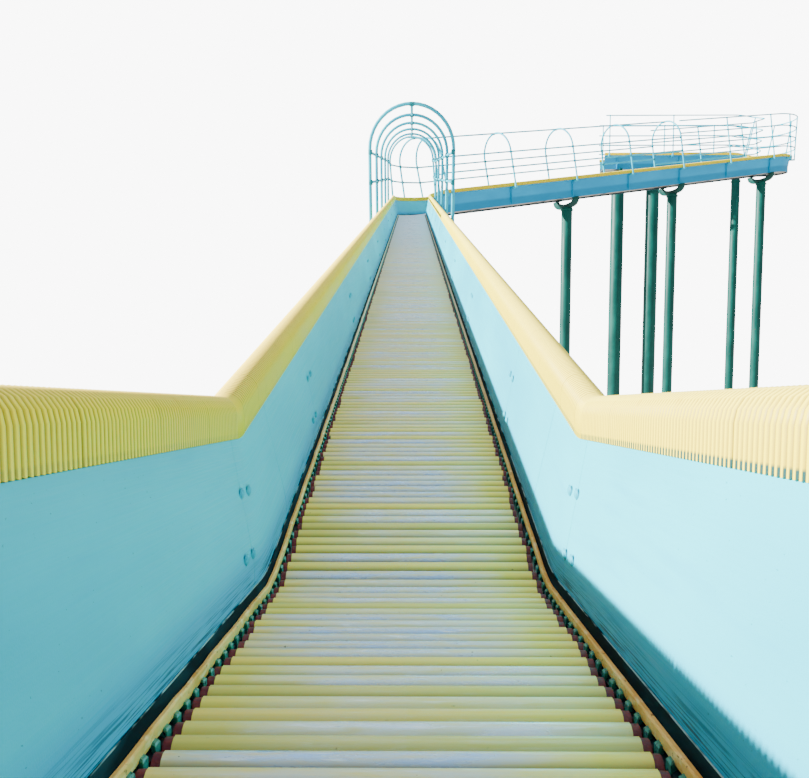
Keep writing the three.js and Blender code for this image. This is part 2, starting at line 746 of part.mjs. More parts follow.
// Columns and stand
add("run_out_stand", stand(), COLUMN_PAINT);
LONG_RUN_COLUMNS.forEach((place, index) => {
  add(`long_run_column_${index + 1}`, column(place, COLUMN_RADIUS), COLUMN_PAINT);
});
add("bend_column", column((LONG_RUN_END + BEND_END) / 2, COLUMN_RADIUS), COLUMN_PAINT);
UPPER_RUN_COLUMN_OFFSETS.forEach((offset, index) => {
  add(`upper_run_column_${index + 1}`, column(BEND_END + offset, COLUMN_RADIUS), COLUMN_PAINT);
});
const turnColumnPlace = UPPER_RUN_END + TURN_COLUMN_SHARE * (U_TURN_END - UPPER_RUN_END);
add("u_turn_column", column(turnColumnPlace, COLUMN_RADIUS), COLUMN_PAINT);
WALKWAY_COLUMN_OFFSETS.forEach((offset, index) => {
  const place = U_TURN_END + offset;
  add(`walkway_column_${index + 1}`, column(place, WALKWAY_COLUMN_RADIUS), COLUMN_PAINT);
});

// Hoop tunnel on the long run, hoops round the bend, and hoops on the upper run
const spacedHoops = (first, count) =>
  Array.from({ length: count }, (_, i) => first + i * PANEL_LENGTH);
const tunnelHoops = spacedHoops(TUNNEL_FIRST_HOOP, TUNNEL_HOOPS);
const bendHoops = [1, 2, 3].map((i) => LONG_RUN_END + (i * (BEND_END - LONG_RUN_END)) / 3);
const upperHoops = spacedHoops(BEND_END + PANEL_LENGTH, UPPER_HOOPS);
for (const { hand, sign } of HANDS) {
  add(`tunnel_side_${hand}`, cageSide(tunnelHoops[0], tunnelHoops, sign), CAGE_PAINT);
}
add("tunnel_crown", cageCrown(tunnelHoops[0], tunnelHoops), CAGE_PAINT);

const AFTER_HOOP = HOOP_BAR_HALF + SEAM;
function bendCage() {
  const from = tunnelHoops.at(-1) + AFTER_HOOP;
  const to = bendHoops.at(-1);
  const pieces = [railAlong(from, to, 0, CROWN)];
  for (const { sign } of HANDS) {
    pieces.push(...bendHoops.flatMap((place) => post(place, sign, HOOP_SPRINGING)));
    for (const height of SIDE_RAIL_HEIGHTS) {
      pieces.push(railAlong(from, to, sign * HOOP_HALF_WIDTH, height));
    }
  }
  return fuse(...pieces, ...bendHoops.map((place) => arch(place, HOOP_SPRINGING - BAR_MARGIN)));
}
add("bend_cage", bendCage(), CAGE_PAINT);

const upperFrom = bendHoops.at(-1) + AFTER_HOOP;
for (const { hand, sign } of HANDS) {
  add(`upper_cage_${hand}`, cageSide(upperFrom, upperHoops, sign), CAGE_PAINT);
}
add("upper_cage_crown", cageCrown(upperFrom, upperHoops), CAGE_PAINT);

// Railings from the last hoop to the start, outside and inside the turn
const railingStart = upperHoops.at(-1) + AFTER_HOOP;
const runPosts = [1, 2].map((i) => upperHoops.at(-1) + i * PANEL_LENGTH);
const turnPosts = TURN_POST_SHARES.map(
  (share) => UPPER_RUN_END + share * (U_TURN_END - UPPER_RUN_END),
);
const walkwayPosts = WALKWAY_POST_SHARES.map((share) => U_TURN_END + share * WALKWAY_LENGTH);
add("outer_run_railing", railing(railingStart, UPPER_RUN_END, runPosts, 1), CAGE_PAINT);
add("outer_turn_railing", railing(UPPER_RUN_END, U_TURN_END, turnPosts, 1), CAGE_PAINT);
add("outer_walkway_railing", railing(U_TURN_END, WALKWAY_END, walkwayPosts, 1), CAGE_PAINT);
const innerPosts = [...runPosts, turnPosts[0], turnPosts[4], ...walkwayPosts.slice(1)];
add("inner_railing", railing(railingStart, WALKWAY_END, innerPosts, -1), CAGE_PAINT);

export default slide;
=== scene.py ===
"""Finished look of a park roller slide: rollers, walls, guards, hoops, railings and columns.

Every piece of the trough is modelled straight on a bench, where X is across the slide,
Y is the distance from the exit and Z is the height above the roller tops. It is then
laid on the route, which climbs, bends right, climbs on and turns back on itself.
"""

import math

import bpy
import numpy as np
from mathutils import Matrix, Vector


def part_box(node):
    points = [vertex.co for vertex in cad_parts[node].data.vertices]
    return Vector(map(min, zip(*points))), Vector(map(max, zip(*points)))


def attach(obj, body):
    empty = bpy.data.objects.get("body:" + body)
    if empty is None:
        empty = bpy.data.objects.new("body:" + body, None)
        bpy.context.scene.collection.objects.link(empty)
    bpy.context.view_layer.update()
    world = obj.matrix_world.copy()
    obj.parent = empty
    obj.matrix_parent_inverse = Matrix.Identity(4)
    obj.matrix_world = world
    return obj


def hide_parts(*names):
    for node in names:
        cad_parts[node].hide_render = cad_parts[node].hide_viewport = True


bl_info = {
    "name": "Park roller slide",
    "version": (1, 0, 0),
    "blender": (4, 5, 0),
    "location": "View3D > Sidebar > Slide",
    "description": "Models and finishes a long roller slide on steel columns",
    "category": "Object",
}

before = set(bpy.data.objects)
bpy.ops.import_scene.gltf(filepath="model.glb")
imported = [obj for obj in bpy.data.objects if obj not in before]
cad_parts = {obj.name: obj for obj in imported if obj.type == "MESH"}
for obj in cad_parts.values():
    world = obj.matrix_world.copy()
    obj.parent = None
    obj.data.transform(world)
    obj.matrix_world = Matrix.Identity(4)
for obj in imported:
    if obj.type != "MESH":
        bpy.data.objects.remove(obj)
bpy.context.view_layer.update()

# Route: distances in plan from the exit lip, in metres
EXIT_TO_FOOT = 0.150
EXIT_HEIGHT = 0.350
RUN_OUT_END = 1.980
SLOPE_START = 1.655
LONG_RUN_END = 18.800
BEND_RADIUS = 1.300
BEND_ANGLE = math.radians(57.2)
UPPER_RUN_LENGTH = 12.050
U_TURN_RADIUS = 0.900
U_TURN_ANGLE = math.radians(147.2)
WALKWAY_LENGTH = 4.200
BEND_END = LONG_RUN_END + BEND_RADIUS * BEND_ANGLE
UPPER_RUN_END = BEND_END + UPPER_RUN_LENGTH
U_TURN_END = UPPER_RUN_END + U_TURN_RADIUS * U_TURN_ANGLE
WALKWAY_END = U_TURN_END + WALKWAY_LENGTH

# Each leg's start, end and curvature
LEGS = {
    "run_out": (0.0, RUN_OUT_END, 0.0),
    "long_run": (RUN_OUT_END, LONG_RUN_END, 0.0),
    "bend": (LONG_RUN_END, BEND_END, 1 / BEND_RADIUS),
    "upper_run": (BEND_END, UPPER_RUN_END, 0.0),
    "u_turn": (UPPER_RUN_END, U_TURN_END, -1 / U_TURN_RADIUS),
    "walkway": (U_TURN_END, WALKWAY_END, 0.0),
}

# Slopes in degrees: the long run, the bend, the upper run and the turn
LONG_RUN_SLOPE = 14.64
BEND_SLOPE = 13.5
UPPER_RUN_SLOPE = 12.2
U_TURN_SLOPE = 11.5


def slope_change(place, before, after, radius):
    """One eased change of slope: its place, its size and half its length."""
    change = math.tan(math.radians(after)) - math.tan(math.radians(before))
    return place, change, radius * abs(change) / 2


EASINGS = [
    slope_change(SLOPE_START, 0, LONG_RUN_SLOPE, 0.6),
    slope_change(LONG_RUN_END - 0.06, LONG_RUN_SLOPE, BEND_SLOPE, 3.0),
    slope_change(BEND_END + 0.06, BEND_SLOPE, UPPER_RUN_SLOPE, 3.0),
    slope_change(UPPER_RUN_END - 0.06, UPPER_RUN_SLOPE, U_TURN_SLOPE, 3.0),
    slope_change(U_TURN_END + 0.14, U_TURN_SLOPE, 0, 1.0),
]
EASING_STEPS = 6
ARC_STEP = math.radians(3)
PIPE_ARC_STEP = BEND_ANGLE / 3
LEAST_GAP = 0.004

# Side rails, ties and end plates, in the trough's cross-section
RAIL_INNER = 0.289
RAIL_OUTER = 0.309
RAIL_BOTTOM = -0.078
RAIL_TOP = -0.002
RAIL_EDGE = 0.008
TIE_SPACING = 1.93
TIE_TOP = -0.066
TIE_THICKNESS = 0.010
TIE_WIDTH = 0.060
TIE_DROP = 0.001
EXIT_PLATE_TOP = -0.047
START_PLATE_HEIGHT = 0.126
END_PLATE_THICKNESS = 0.012

# Walkway deck
DECK_BOTTOM = -0.030
DECK_TOP = -0.006
DECK_CHAMFER = 0.002
DECK_SIDE_GAP = 0.0005
DECK_END_GAP = 0.0002
DECK_HALF_JOINT = 0.001

# Walls and where their panels meet
WALL_INNER = 0.3097
WALL_THICKNESS = 0.006
WALL_KNEE = 0.081
WALL_TOP_X = 0.3522
WALL_TOP = 0.322
WALL_LIP_X = 0.402
WALL_LIP_ROOT = 0.0053
WALL_LEAN = math.atan2(WALL_TOP_X - WALL_INNER, WALL_TOP - WALL_KNEE)
COVE_BEND = 0.020
PANEL_LENGTH = 1.93
PANEL_GAP = 0.0016
FIRST_JOINT = 1.52
SECOND_JOINT = 2.69
JOINT_BEFORE_HOOP = 0.06
# Shortest last panel on the long run, and above it
LEAST_LAST_PANELS = (0.5, 0.3)

# Flanges, button heads and bolts of the walls' joints
FLANGE_HALF = 0.004
FLANGE_FOOT = 0.028
FLANGE_INSET = 0.003
FLANGE_ROOT = math.tan(WALL_LEAN) * 0.01
FLANGE_SHOULDER = 0.060
# Button heads: the pairs' heights and places from the joint, and half their spread
NUT_PAIRS = ((0.095, -0.040), (0.215, 0.030))
NUT_SPREAD = 0.036
NUT_RADIUS = 0.0110
NUT_FLATNESS = 0.5
# Radius and thickness of a washer, and radius and height of a bolt's head
NUT_WASHER = (0.0140, 0.002)
RAIL_BOLT = (0.009, 0.007)
RAIL_BOLT_SHIFTS = (-0.03, 0.03)
RAIL_BOLT_HEIGHTS = (-0.055, -0.02)

# Edge guards
GUARD_INNER = 0.349
GUARD_OUTER = 0.425
GUARD_FOOT = 0.3227
GUARD_SHOULDER = 0.372
FIRST_GUARD_JOINT = 0.165
GUARD_LENGTH = 0.585
GUARD_BUTT_GAP = 0.0022
GUARD_TOP_STEPS = 8
# Each rib's rings: place along the rib, size of the section, and how deep in the groove
RIB_RINGS = (
    (0.0, 0.90, 1.0), (0.20, 0.98, 0.5), (0.5, 1.0, 0.0), (0.80, 0.98, 0.5), (1.0, 0.90, 1.0),
)

# Rollers
ROLLER_PITCH = 0.046
BEND_INNER_PITCH = 0.0436
BEND_PANELS = {"bend": 6, "u_turn": 18}
ROLLER_RADIUS = 0.02135
ROLLER_HALF_LENGTH = 0.275
ROLLER_SIDES = 14
CAP_STEP = 0.0014
CAP_DRAFT = 0.0004
CAP_LENGTH = 0.011
END_STAGGER = 0.0045
# Turning rollers: the first one's place in the run-out, how many, and their first number
FIRST_TURNING_ROLLER = 17
TURNING_ROLLERS = 4
FIRST_TURNING_NUMBER = 101
# Height where the painted shade below a roller starts, and where it ends on the rollers that turn
UNSHADED_ABOVE = -0.0022
TURNING_SHADE_END = -0.0070

# Axle seats
SEAT_INNER = 0.2880
SEAT_OUTER = 0.3000
SEAT_TOP = 0.0015
SEAT_LENGTH = 0.019
SEAT_DEPTH = 0.030
SEAT_LEAN = 0.012

# Strips beside the rollers, as outlines of the right one
BEAD_OUTLINE = (
    (0.2950, -0.003), (0.3030, -0.003), (0.3035, 0.010), (0.3015, 0.0135),
    (0.2965, 0.0140), (0.2940, 0.0120), (0.2935, 0.0050),
)
BEAD_STEP = 0.05
BEAD_WAVE = 0.00042
BEAD_WAVE_LENGTHS = (0.11, 0.29, 0.73)
SEAL_OUTLINE = (
    (0.3020, -0.003), (0.3090, -0.003), (0.3092, 0.0300), (0.3074, 0.0305), (0.3035, 0.010),
)

# Hoops and railings
HOOP_HALF_WIDTH = 0.490
HOOP_SPRINGING = 1.110
HOOP_FOOT = 0.270
HOOP_CROWN = HOOP_SPRINGING + HOOP_HALF_WIDTH
HOOP_SIDES = 12
HOOP_STEPS = 20
PIPE_LIFT = 0.002
RAIL_SIDES = 10
POST_SHARE = 0.9
POST_ROUNDING = 0.006
BRACKET_TOP = 0.3155
BRACKET_INNER_FOOT = 0.3502
BRACKET_INNER_TOP = 0.358
BRACKET_HALF_LENGTH = 0.030
BRACKET_REACH = HOOP_HALF_WIDTH + 0.0205
# Radius and half length of the clamps
HOOP_CLAMP = (0.0255, 0.028)
RAILING_CLAMP = (0.0235, 0.022)
CLAMP_INSET = 0.0050
SIDE_RAIL_HEIGHTS = (0.745, 1.080)
RAILING_HEIGHTS = (0.600, 0.880, 1.180, 1.500)
RAILING_TOP = 1.517
TUNNEL_HOOPS = [10.47 + PANEL_LENGTH * i for i in range(5)]
BEND_HOOPS = [LONG_RUN_END + (BEND_END - LONG_RUN_END) * i / 3 for i in (1, 2, 3)]
UPPER_HOOPS = [BEND_END + PANEL_LENGTH * i for i in (1, 2, 3, 4)]
RUN_POSTS = [UPPER_HOOPS[-1] + PANEL_LENGTH * i for i in (1, 2)]
TURN_POSTS = [UPPER_RUN_END + (U_TURN_END - UPPER_RUN_END) * s for s in (0.1, 0.3, 0.5, 0.7, 0.9)]
WALKWAY_POSTS = [U_TURN_END + WALKWAY_LENGTH * share for share in (0.12, 0.5, 0.97)]

# Columns
COLUMN_RADIUS = 0.1337
WALKWAY_COLUMN_RADIUS = 0.2032
COLUMN_SIDES = 40
COLUMN_FOOT = 0.004
COLLAR_REACH = 0.022
COLLAR_DROPS = (0.075, 0.045)
GUSSET_HALF = 0.006
GUSSET_HEIGHT = 0.17
GUSSET_TOP = 0.012
GUSSET_EDGE = 0.014
GUSSET_LAP = 0.002
GUSSET_MARGIN = 0.030
ANCHOR_MARGIN = 0.040
YOKE_THICKNESS = 0.090
YOKE_HALF_WIDTH = 0.420
YOKE_FOOT = -0.300
YOKE_SHOULDER = -0.120
YOKE_ARM = 0.130
YOKE_LENS_TOP = -0.095
YOKE_LENS_DEPTH = 0.095
YOKE_LAP = 0.020
YOKE_FOOT_MARGIN = 0.006
BASE_PLATE_THICKNESS = 0.022
BASE_PLATE_MARGIN = 0.092
# Anchor bolts: radius, height and sides of the washer, the nut and the thread, how deep the
# washer sits, and the nut's rounding
COLUMN_ANCHOR = (((0.023, 0.003, 16), (0.0185, 0.018, 6), (0.010, 0.032, 12)), 0.001, 0.0015)
STAND_ANCHOR = (((0.017, 0.003, 16), (0.0125, 0.013, 6)), 0.0005, 0.001)
COLUMNS = {
    "long_run_column_1": (4.68, COLUMN_RADIUS),
    "long_run_column_2": (8.54, COLUMN_RADIUS),
    "long_run_column_3": (12.40, COLUMN_RADIUS),
    "long_run_column_4": (16.26, COLUMN_RADIUS),
    "bend_column": ((LONG_RUN_END + BEND_END) / 2, COLUMN_RADIUS),
    "upper_run_column_1": (BEND_END + 3.86, COLUMN_RADIUS),
    "upper_run_column_2": (BEND_END + 7.71, COLUMN_RADIUS),
    "upper_run_column_3": (BEND_END + 11.56, COLUMN_RADIUS),
    "u_turn_column": (UPPER_RUN_END + 0.95 * (U_TURN_END - UPPER_RUN_END), COLUMN_RADIUS),
    "walkway_column_1": (U_TURN_END + 2.57, WALKWAY_COLUMN_RADIUS),
    "walkway_column_2": (U_TURN_END + 3.68, WALKWAY_COLUMN_RADIUS),
}

# Stand under the exit: half width and height of its bearers and feet, and where they lie
BEARER_SIZE = (0.03, 0.04)
BEARER_ENDS = (-0.09, 1.31)
STAND_FOOT = (0.095, 0.016)
STAND_POST = (0.028, 0.03)
STAND_POST_LAP = 0.004
STAND_POSTS = (0.0, 1.15)
STAND_BOLT_PLACES = (-0.35, -0.2, 0.2, 0.35)
STAND_BOLT_SHIFTS = (-0.062, 0.062)
# Air between the stand or a yoke and the trough that it carries
CONTACT_GAP = 0.0003

# Camera, set from the photograph's perspective
CAMERA_PLACE = (0.006, -0.330, 0.739)
CAMERA_PITCH = math.radians(-5.3)
CAMERA_YAW = math.radians(0.5)
CAMERA_LENS = 38.3
CAMERA_SHIFT_Y = 0.12

# Light: an even sky, and a low key that clears the left guard and falls on the right wall
SKY_LIGHT = 1.1
SKY_SEEN = 9.0
KEY_LIGHT = 29.0
KEY_FROM = (-0.80, -0.06, 0.365)
KEY_ANGLE = math.radians(0.8)
KEY_TINT = (1.0, 0.97, 0.92)
FLOOR_SIZE = 400
FLOOR_MIDDLE = (5, 14, 0)

# How squarely a face looks along an axis to be taken as facing that way
SQUARELY = 0.9
OUTWARD = 0.3

STRUCTURE = "structure"
HANDS = {"left": -1, "right": 1}
SMOOTH_ANGLE = math.radians(35)
RIB_SMOOTH_ANGLE = math.radians(60)

# Sockets of the Mix node for colours, and how strongly a bump shows
MIX_FACTOR = 0
MIX_UNDER = 6
MIX_OVER = 7
BUMP_STRENGTH = 0.6


def colour(code):
    """A linear RGBA colour from an sRGB hex code."""
    channels = [int(code[i : i + 2], 16) / 255 for i in (1, 3, 5)]
    linear = [c / 12.92 if c <= 0.04045 else ((c + 0.055) / 1.055) ** 2.4 for c in channels]
    return (*linear, 1.0)


# Where things are: the route and the bench


def plan(distance):
    """Plan place and heading at each distance."""
    place = np.zeros((len(distance), 2))
    place[:, 1] = -EXIT_TO_FOOT
    heading = np.zeros(len(distance))
    for start, end, curvature in LEGS.values():
        travelled = np.clip(distance, start, end) - start
        if curvature == 0:
            place += np.stack([np.sin(heading), np.cos(heading)], axis=1) * travelled[:, None]
            continue
        place += np.stack([np.cos(heading), -np.sin(heading)], axis=1) / curvature
        heading = heading + travelled * curvature
        place -= np.stack([np.cos(heading), -np.sin(heading)], axis=1) / curvature
    return place, heading


def climb(distance):
    """Height of the roller tops and their slope at each distance."""
    height = np.full(len(distance), EXIT_HEIGHT)
    slope = np.zeros(len(distance))
    for middle, change, half in EASINGS:
        past = distance - middle
        eased = np.clip(past, -half, half) + half
        height += change * (eased**2 / (4 * half) + np.maximum(past - half, 0))
        slope += change * eased / (2 * half)
    return height, slope


def route(distance):
    """Place, side, up and ahead of the trough at each distance."""
    distance = np.atleast_1d(np.asarray(distance, dtype=float))
    flat, heading = plan(distance)
    height, slope = climb(distance)
    place = np.column_stack([flat, height])
    level = np.zeros(len(distance))
    side = np.column_stack([np.cos(heading), -np.sin(heading), level])
    ahead = np.column_stack([np.sin(heading), np.cos(heading), slope])
    ahead /= np.linalg.norm(ahead, axis=1)[:, None]
    return place, side, np.cross(side, ahead), ahead


def on_route(distance, x, z):
    """A point of the cross-section at a distance."""
    place, side, up, _ = route(distance)
    return Vector(place[0] + side[0] * x + up[0] * z)


def slope_length(start, end):
    """Length along the slope between two distances."""
    heights, _ = climb(np.array([start, end]))
    return math.hypot(end - start, heights[1] - heights[0])


def stations(start, end, longest=None, arc_step=ARC_STEP):
    """Distances where a long piece needs a cross-section: slope changes, bends and its ends."""
    places = []
    for middle, _, half in EASINGS:
        places.extend(middle + half * (2 * i / EASING_STEPS - 1) for i in range(EASING_STEPS + 1))
    for leg_start, leg_end, curvature in LEGS.values():
        steps = max(1, round(abs(curvature) * (leg_end - leg_start) / arc_step))
        places.extend(np.linspace(leg_start, leg_end, steps + 1))
    if longest:
        places.extend(np.arange(start, end, longest))
    chosen = [start]
    for place in sorted(places):
        if chosen[-1] + LEAST_GAP < place < end - LEAST_GAP:
            chosen.append(place)
    return [*chosen, end]


def read_points(piece):
    """A mesh's vertices as an array."""
    flat = np.empty(len(piece.data.vertices) * 3)
    piece.data.vertices.foreach_get("co", flat)
    return flat.reshape(-1, 3)


def write_points(piece, points):
    """Put an array back as a mesh's vertices."""
    piece.data.vertices.foreach_set("co", points.ravel())
    piece.data.update()


def lay_on_route(piece, anchors=None, stagger=0.0):
    """Move a piece from the bench to the route, and keep its bench place for its material.

    Without anchors it bends with the route. With them each copy keeps its shape and is
    carried by its nearest anchor, and may be pushed sideways by up to the stagger."""
    points = read_points(piece)
    held = points[:, 1].copy()
    number = np.zeros(len(points))
    if anchors is not None:
        anchors = np.asarray(anchors, dtype=float)
        middles = (anchors[1:] + anchors[:-1]) / 2
        index = np.searchsorted(middles, points[:, 1])
        held = anchors[index]
        number = index + 1.0
        pushes = np.random.default_rng(len(anchors)).uniform(-stagger, stagger, len(anchors))
        points[:, 0] += pushes[index]
    held = np.clip(held, 0, WALKWAY_END)
    place, side, up, ahead = route(held)
    beyond = points[:, 1] - held
    moved = place + side * points[:, 0:1] + up * points[:, 2:3] + ahead * beyond[:, None]
    bench = piece.data.attributes.new("bench", "FLOAT_VECTOR", "POINT")
    bench.data.foreach_set("vector", points.astype(np.float32).ravel())
    numbers = piece.data.attributes.new("number", "FLOAT", "POINT")
    numbers.data.foreach_set("value", number.astype(np.float32))
    write_points(piece, moved)


# Small modelling steps


def deselect():
    """Select nothing."""
    bpy.ops.object.select_all(action="DESELECT")


def take(piece):
    """Select one piece alone and make it active."""
    deselect()
    piece.select_set(True)
    bpy.context.view_layer.objects.active = piece


def settle(piece):
    """Bring a piece's place, turn and scale into its mesh."""
    take(piece)
    bpy.ops.object.transform_apply(location=True, rotation=True, scale=True)
    return piece


def enter_edit(kind="FACE", action="SELECT"):
    """Enter edit mode with everything selected, or nothing."""
    bpy.ops.object.mode_set(mode="EDIT")
    bpy.ops.mesh.select_mode(type=kind)
    bpy.ops.mesh.select_all(action=action)


def edit_faces(piece, wanted):
    """Enter edit mode with only the wanted faces selected."""
    take(piece)
    enter_edit(action="DESELECT")
    bpy.ops.object.mode_set(mode="OBJECT")
    for face in piece.data.polygons:
        face.select = wanted(face)
    bpy.ops.object.mode_set(mode="EDIT")


def push_out(*move):
    """Extrude what is selected."""
    bpy.ops.mesh.extrude_region_move(TRANSFORM_OT_translate={"value": move})


def leave_edit():
    """Leave edit mode with all normals outward."""
    bpy.ops.mesh.select_all(action="SELECT")
    bpy.ops.mesh.normals_make_consistent(inside=False)
    bpy.ops.object.mode_set(mode="OBJECT")


def apply_modifier(piece, kind, **settings):
    """Add a modifier with its settings and apply it."""
    take(piece)
    modifier = piece.modifiers.new(kind.title(), kind)
    for key, value in settings.items():
        setattr(modifier, key, value)
    bpy.ops.object.modifier_apply(modifier=modifier.name)


def bevel(piece, width, segments=2, angle=math.radians(30)):
    """Round a piece's sharp edges."""
    settings = {"width": width, "segments": segments, "limit_method": "ANGLE", "angle_limit": angle}
    apply_modifier(piece, "BEVEL", **settings)


def repeat(piece, count, step, merge=False):
    """Repeat a piece along the bench."""
    settings = {"count": count, "use_relative_offset": False, "use_constant_offset": True}
    settings["constant_offset_displace"] = (0, step, 0)
    settings["use_merge_vertices"] = merge
    settings["merge_threshold"] = 1e-5
    apply_modifier(piece, "ARRAY", **settings)


def join(pieces):
    """Join pieces into the first."""
    deselect()
    for piece in pieces:
        piece.select_set(True)
    bpy.context.view_layer.objects.active = pieces[0]
    if len(pieces) > 1:
        bpy.ops.object.join()
    return settle(pieces[0])


def copies(piece, places):
    """Copies of a piece at each place, each with its own mesh, joined as one."""
    made = []
    for place in places:
        twin = piece.copy()
        twin.data = piece.data.copy()
        twin.location = Vector(place)
        bpy.context.collection.objects.link(twin)
        made.append(twin)
    bpy.data.objects.remove(piece)
    return join(made)


def along_route(piece, places):
    """Copies of a piece at each distance, laid on the route."""
    row = copies(piece, [(0, place, 0) for place in places])
    lay_on_route(row, places)
    return row


def both_hands(piece, anchors):
    """A piece and its mirror image on the other side of the trough, laid on the route."""
    twin = piece.copy()
    twin.data = piece.data.copy()
    bpy.context.collection.objects.link(twin)
    twin.scale.x = -1
    settle(twin)
    bpy.ops.object.mode_set(mode="EDIT")
    leave_edit()
    both = join([piece, twin])
    lay_on_route(both, anchors)
    return both


def extruded(outline, places):
    """A closed outline in X and Z, extruded along the bench through each place."""
    deselect()
    bpy.ops.mesh.primitive_circle_add(vertices=len(outline), fill_type="NGON")
    piece = bpy.context.object
    for vertex, (x, z) in zip(piece.data.vertices, outline):
        vertex.co = (x, places[0], z)
    enter_edit()
    for here, there in zip(places, places[1:]):
        push_out(0, there - here, 0)
    leave_edit()
    return piece


def block(low, high):
    """A box from its lowest to its highest corner."""
    deselect()
    middle = [(a + b) / 2 for a, b in zip(low, high)]
    bpy.ops.mesh.primitive_cube_add(size=1, location=middle)
    piece = bpy.context.object
    piece.scale = [b - a for a, b in zip(low, high)]
    return settle(piece)


def rod(radius, low, high, sides=16):
    """A round bar between two points."""
    deselect()
    low, high = Vector(low), Vector(high)
    along = high - low
    turn = Vector((0, 0, 1)).rotation_difference(along).to_euler()
    bpy.ops.mesh.primitive_cylinder_add(
        vertices=sides, radius=radius, depth=along.length, location=(low + high) / 2, rotation=turn
    )
    return settle(bpy.context.object)


def round_outline(x, z, radius, sides):
    """Points of a circle in X and Z."""
    angles = [2 * math.pi * i / sides for i in range(sides)]
    return [(x + radius * math.cos(a), z + radius * math.sin(a)) for a in angles]


def mirrored(outline):
    """The same outline on the other hand."""
    return [(-x, z) for x, z in reversed(outline)]


def for_hand(outline, sign):
    """The right hand's outline, or its mirror image for the left."""
    return outline if sign > 0 else mirrored(outline)


def pipes(places, start, end, radius, arc_step=ARC_STEP):
    """Round pipes along the route, one at each place of the cross-section."""
    made = []
    for x, z in places:
        outline = round_outline(x, z, radius, RAIL_SIDES)
        pipe = extruded(outline, stations(start, end, arc_step=arc_step))
        lay_on_route(pipe)
        made.append(pipe)
    return made


def finish_piece(piece, name, nodes, paint=None, body=STRUCTURE, smooth=SMOOTH_ANGLE):
    """Name a piece, shade it, paint it if it isn't yet, and tell the frame what it stands for."""
    piece.name = name
    piece.data.name = name
    take(piece)
    bpy.ops.object.shade_smooth_by_angle(angle=smooth)
    if paint:
        piece.data.materials.append(finish(paint))
    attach(piece, body)
    if nodes:
        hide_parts(*nodes)
    return piece


def paint_faces(piece, names, wanted=lambda face: False):
    """Give a piece its finishes before it is joined, the second on the wanted faces."""
    for name in names:
        piece.data.materials.append(finish(name))
    for face in piece.data.polygons:
        face.material_index = int(wanted(face))


# Materials


def add_node(tree, kind, inputs=None, **settings):
    """Add a node with its settings, its values and its links.

    An input that is given as a node is linked to the first output that the node uses."""
    node = tree.nodes.new(f"ShaderNode{kind}")
    for key, value in settings.items():
        setattr(node, key, value)
    for socket, value in (inputs or {}).items():
        if isinstance(value, bpy.types.Node):
            value = next(output for output in value.outputs if output.enabled)
        if isinstance(value, bpy.types.NodeSocket):
            tree.links.new(value, node.inputs[socket])
        else:
            node.inputs[socket].default_value = value
    return node


def new_material(name):
    """An empty material and its node tree."""
    material = bpy.data.materials.new(name)
    material.use_nodes = True
    material.node_tree.nodes.clear()
    return material, material.node_tree


def bench_place(tree):
    """Where a point is on the bench, split into across, along and above."""
    place = add_node(tree, "Attribute", attribute_name="bench").outputs["Vector"]
    parts = add_node(tree, "SeparateXYZ", {"Vector": place}).outputs
    return place, parts["X"], parts["Y"], parts["Z"]


def stretched_noise(tree, place, scale, stretch, detail=3.0):
    """Noise of a scale per metre, stretched by a factor each way."""
    stretched = add_node(tree, "Mapping", {"Vector": place, "Scale": stretch})
    inputs = {"Vector": stretched, "Scale": scale, "Detail": detail, "Roughness": 0.55}
    return add_node(tree, "TexNoise", inputs)


def cloud(tree, place, scale, stretch, low, high, detail=3.0, least=0.0, most=1.0):
    """Soft patches: noise of a scale per metre, cut between a low and a high level."""
    noise = stretched_noise(tree, place, scale, stretch, detail)
    inputs = {"Value": noise, "From Min": low, "From Max": high, "To Min": least, "To Max": most}
    return add_node(tree, "MapRange", inputs)


def layered(tree, base, *layers):
    """A base colour with each layer's colour laid over it by the layer's amount."""
    for amount, tint in layers:
        colours = [colour(paint) if isinstance(paint, str) else paint for paint in (base, tint)]
        inputs = {MIX_FACTOR: amount, MIX_UNDER: colours[0], MIX_OVER: colours[1]}
        base = add_node(tree, "Mix", inputs, data_type="RGBA")
    return base


def finish_shader(material, base, rough, values, height=None, depth=0.001):
    """Give a material its shader: base colour, roughness, other values, and a bump in metres.

    The roughness is a number, a node, or an amount with the roughness at none and at full."""
    tree = material.node_tree
    if isinstance(rough, tuple):
        amount, least, most = rough
        rough = add_node(tree, "MapRange", {"Value": amount, "To Min": least, "To Max": most})
    inputs = {"Base Color": base, "Roughness": rough, **values}
    if height is not None:
        bump = {"Height": height, "Distance": depth, "Strength": BUMP_STRENGTH}
        inputs["Normal"] = add_node(tree, "Bump", bump)
    shader = add_node(tree, "BsdfPrincipled", inputs)
    add_node(tree, "OutputMaterial", {"Surface": shader})
    return material


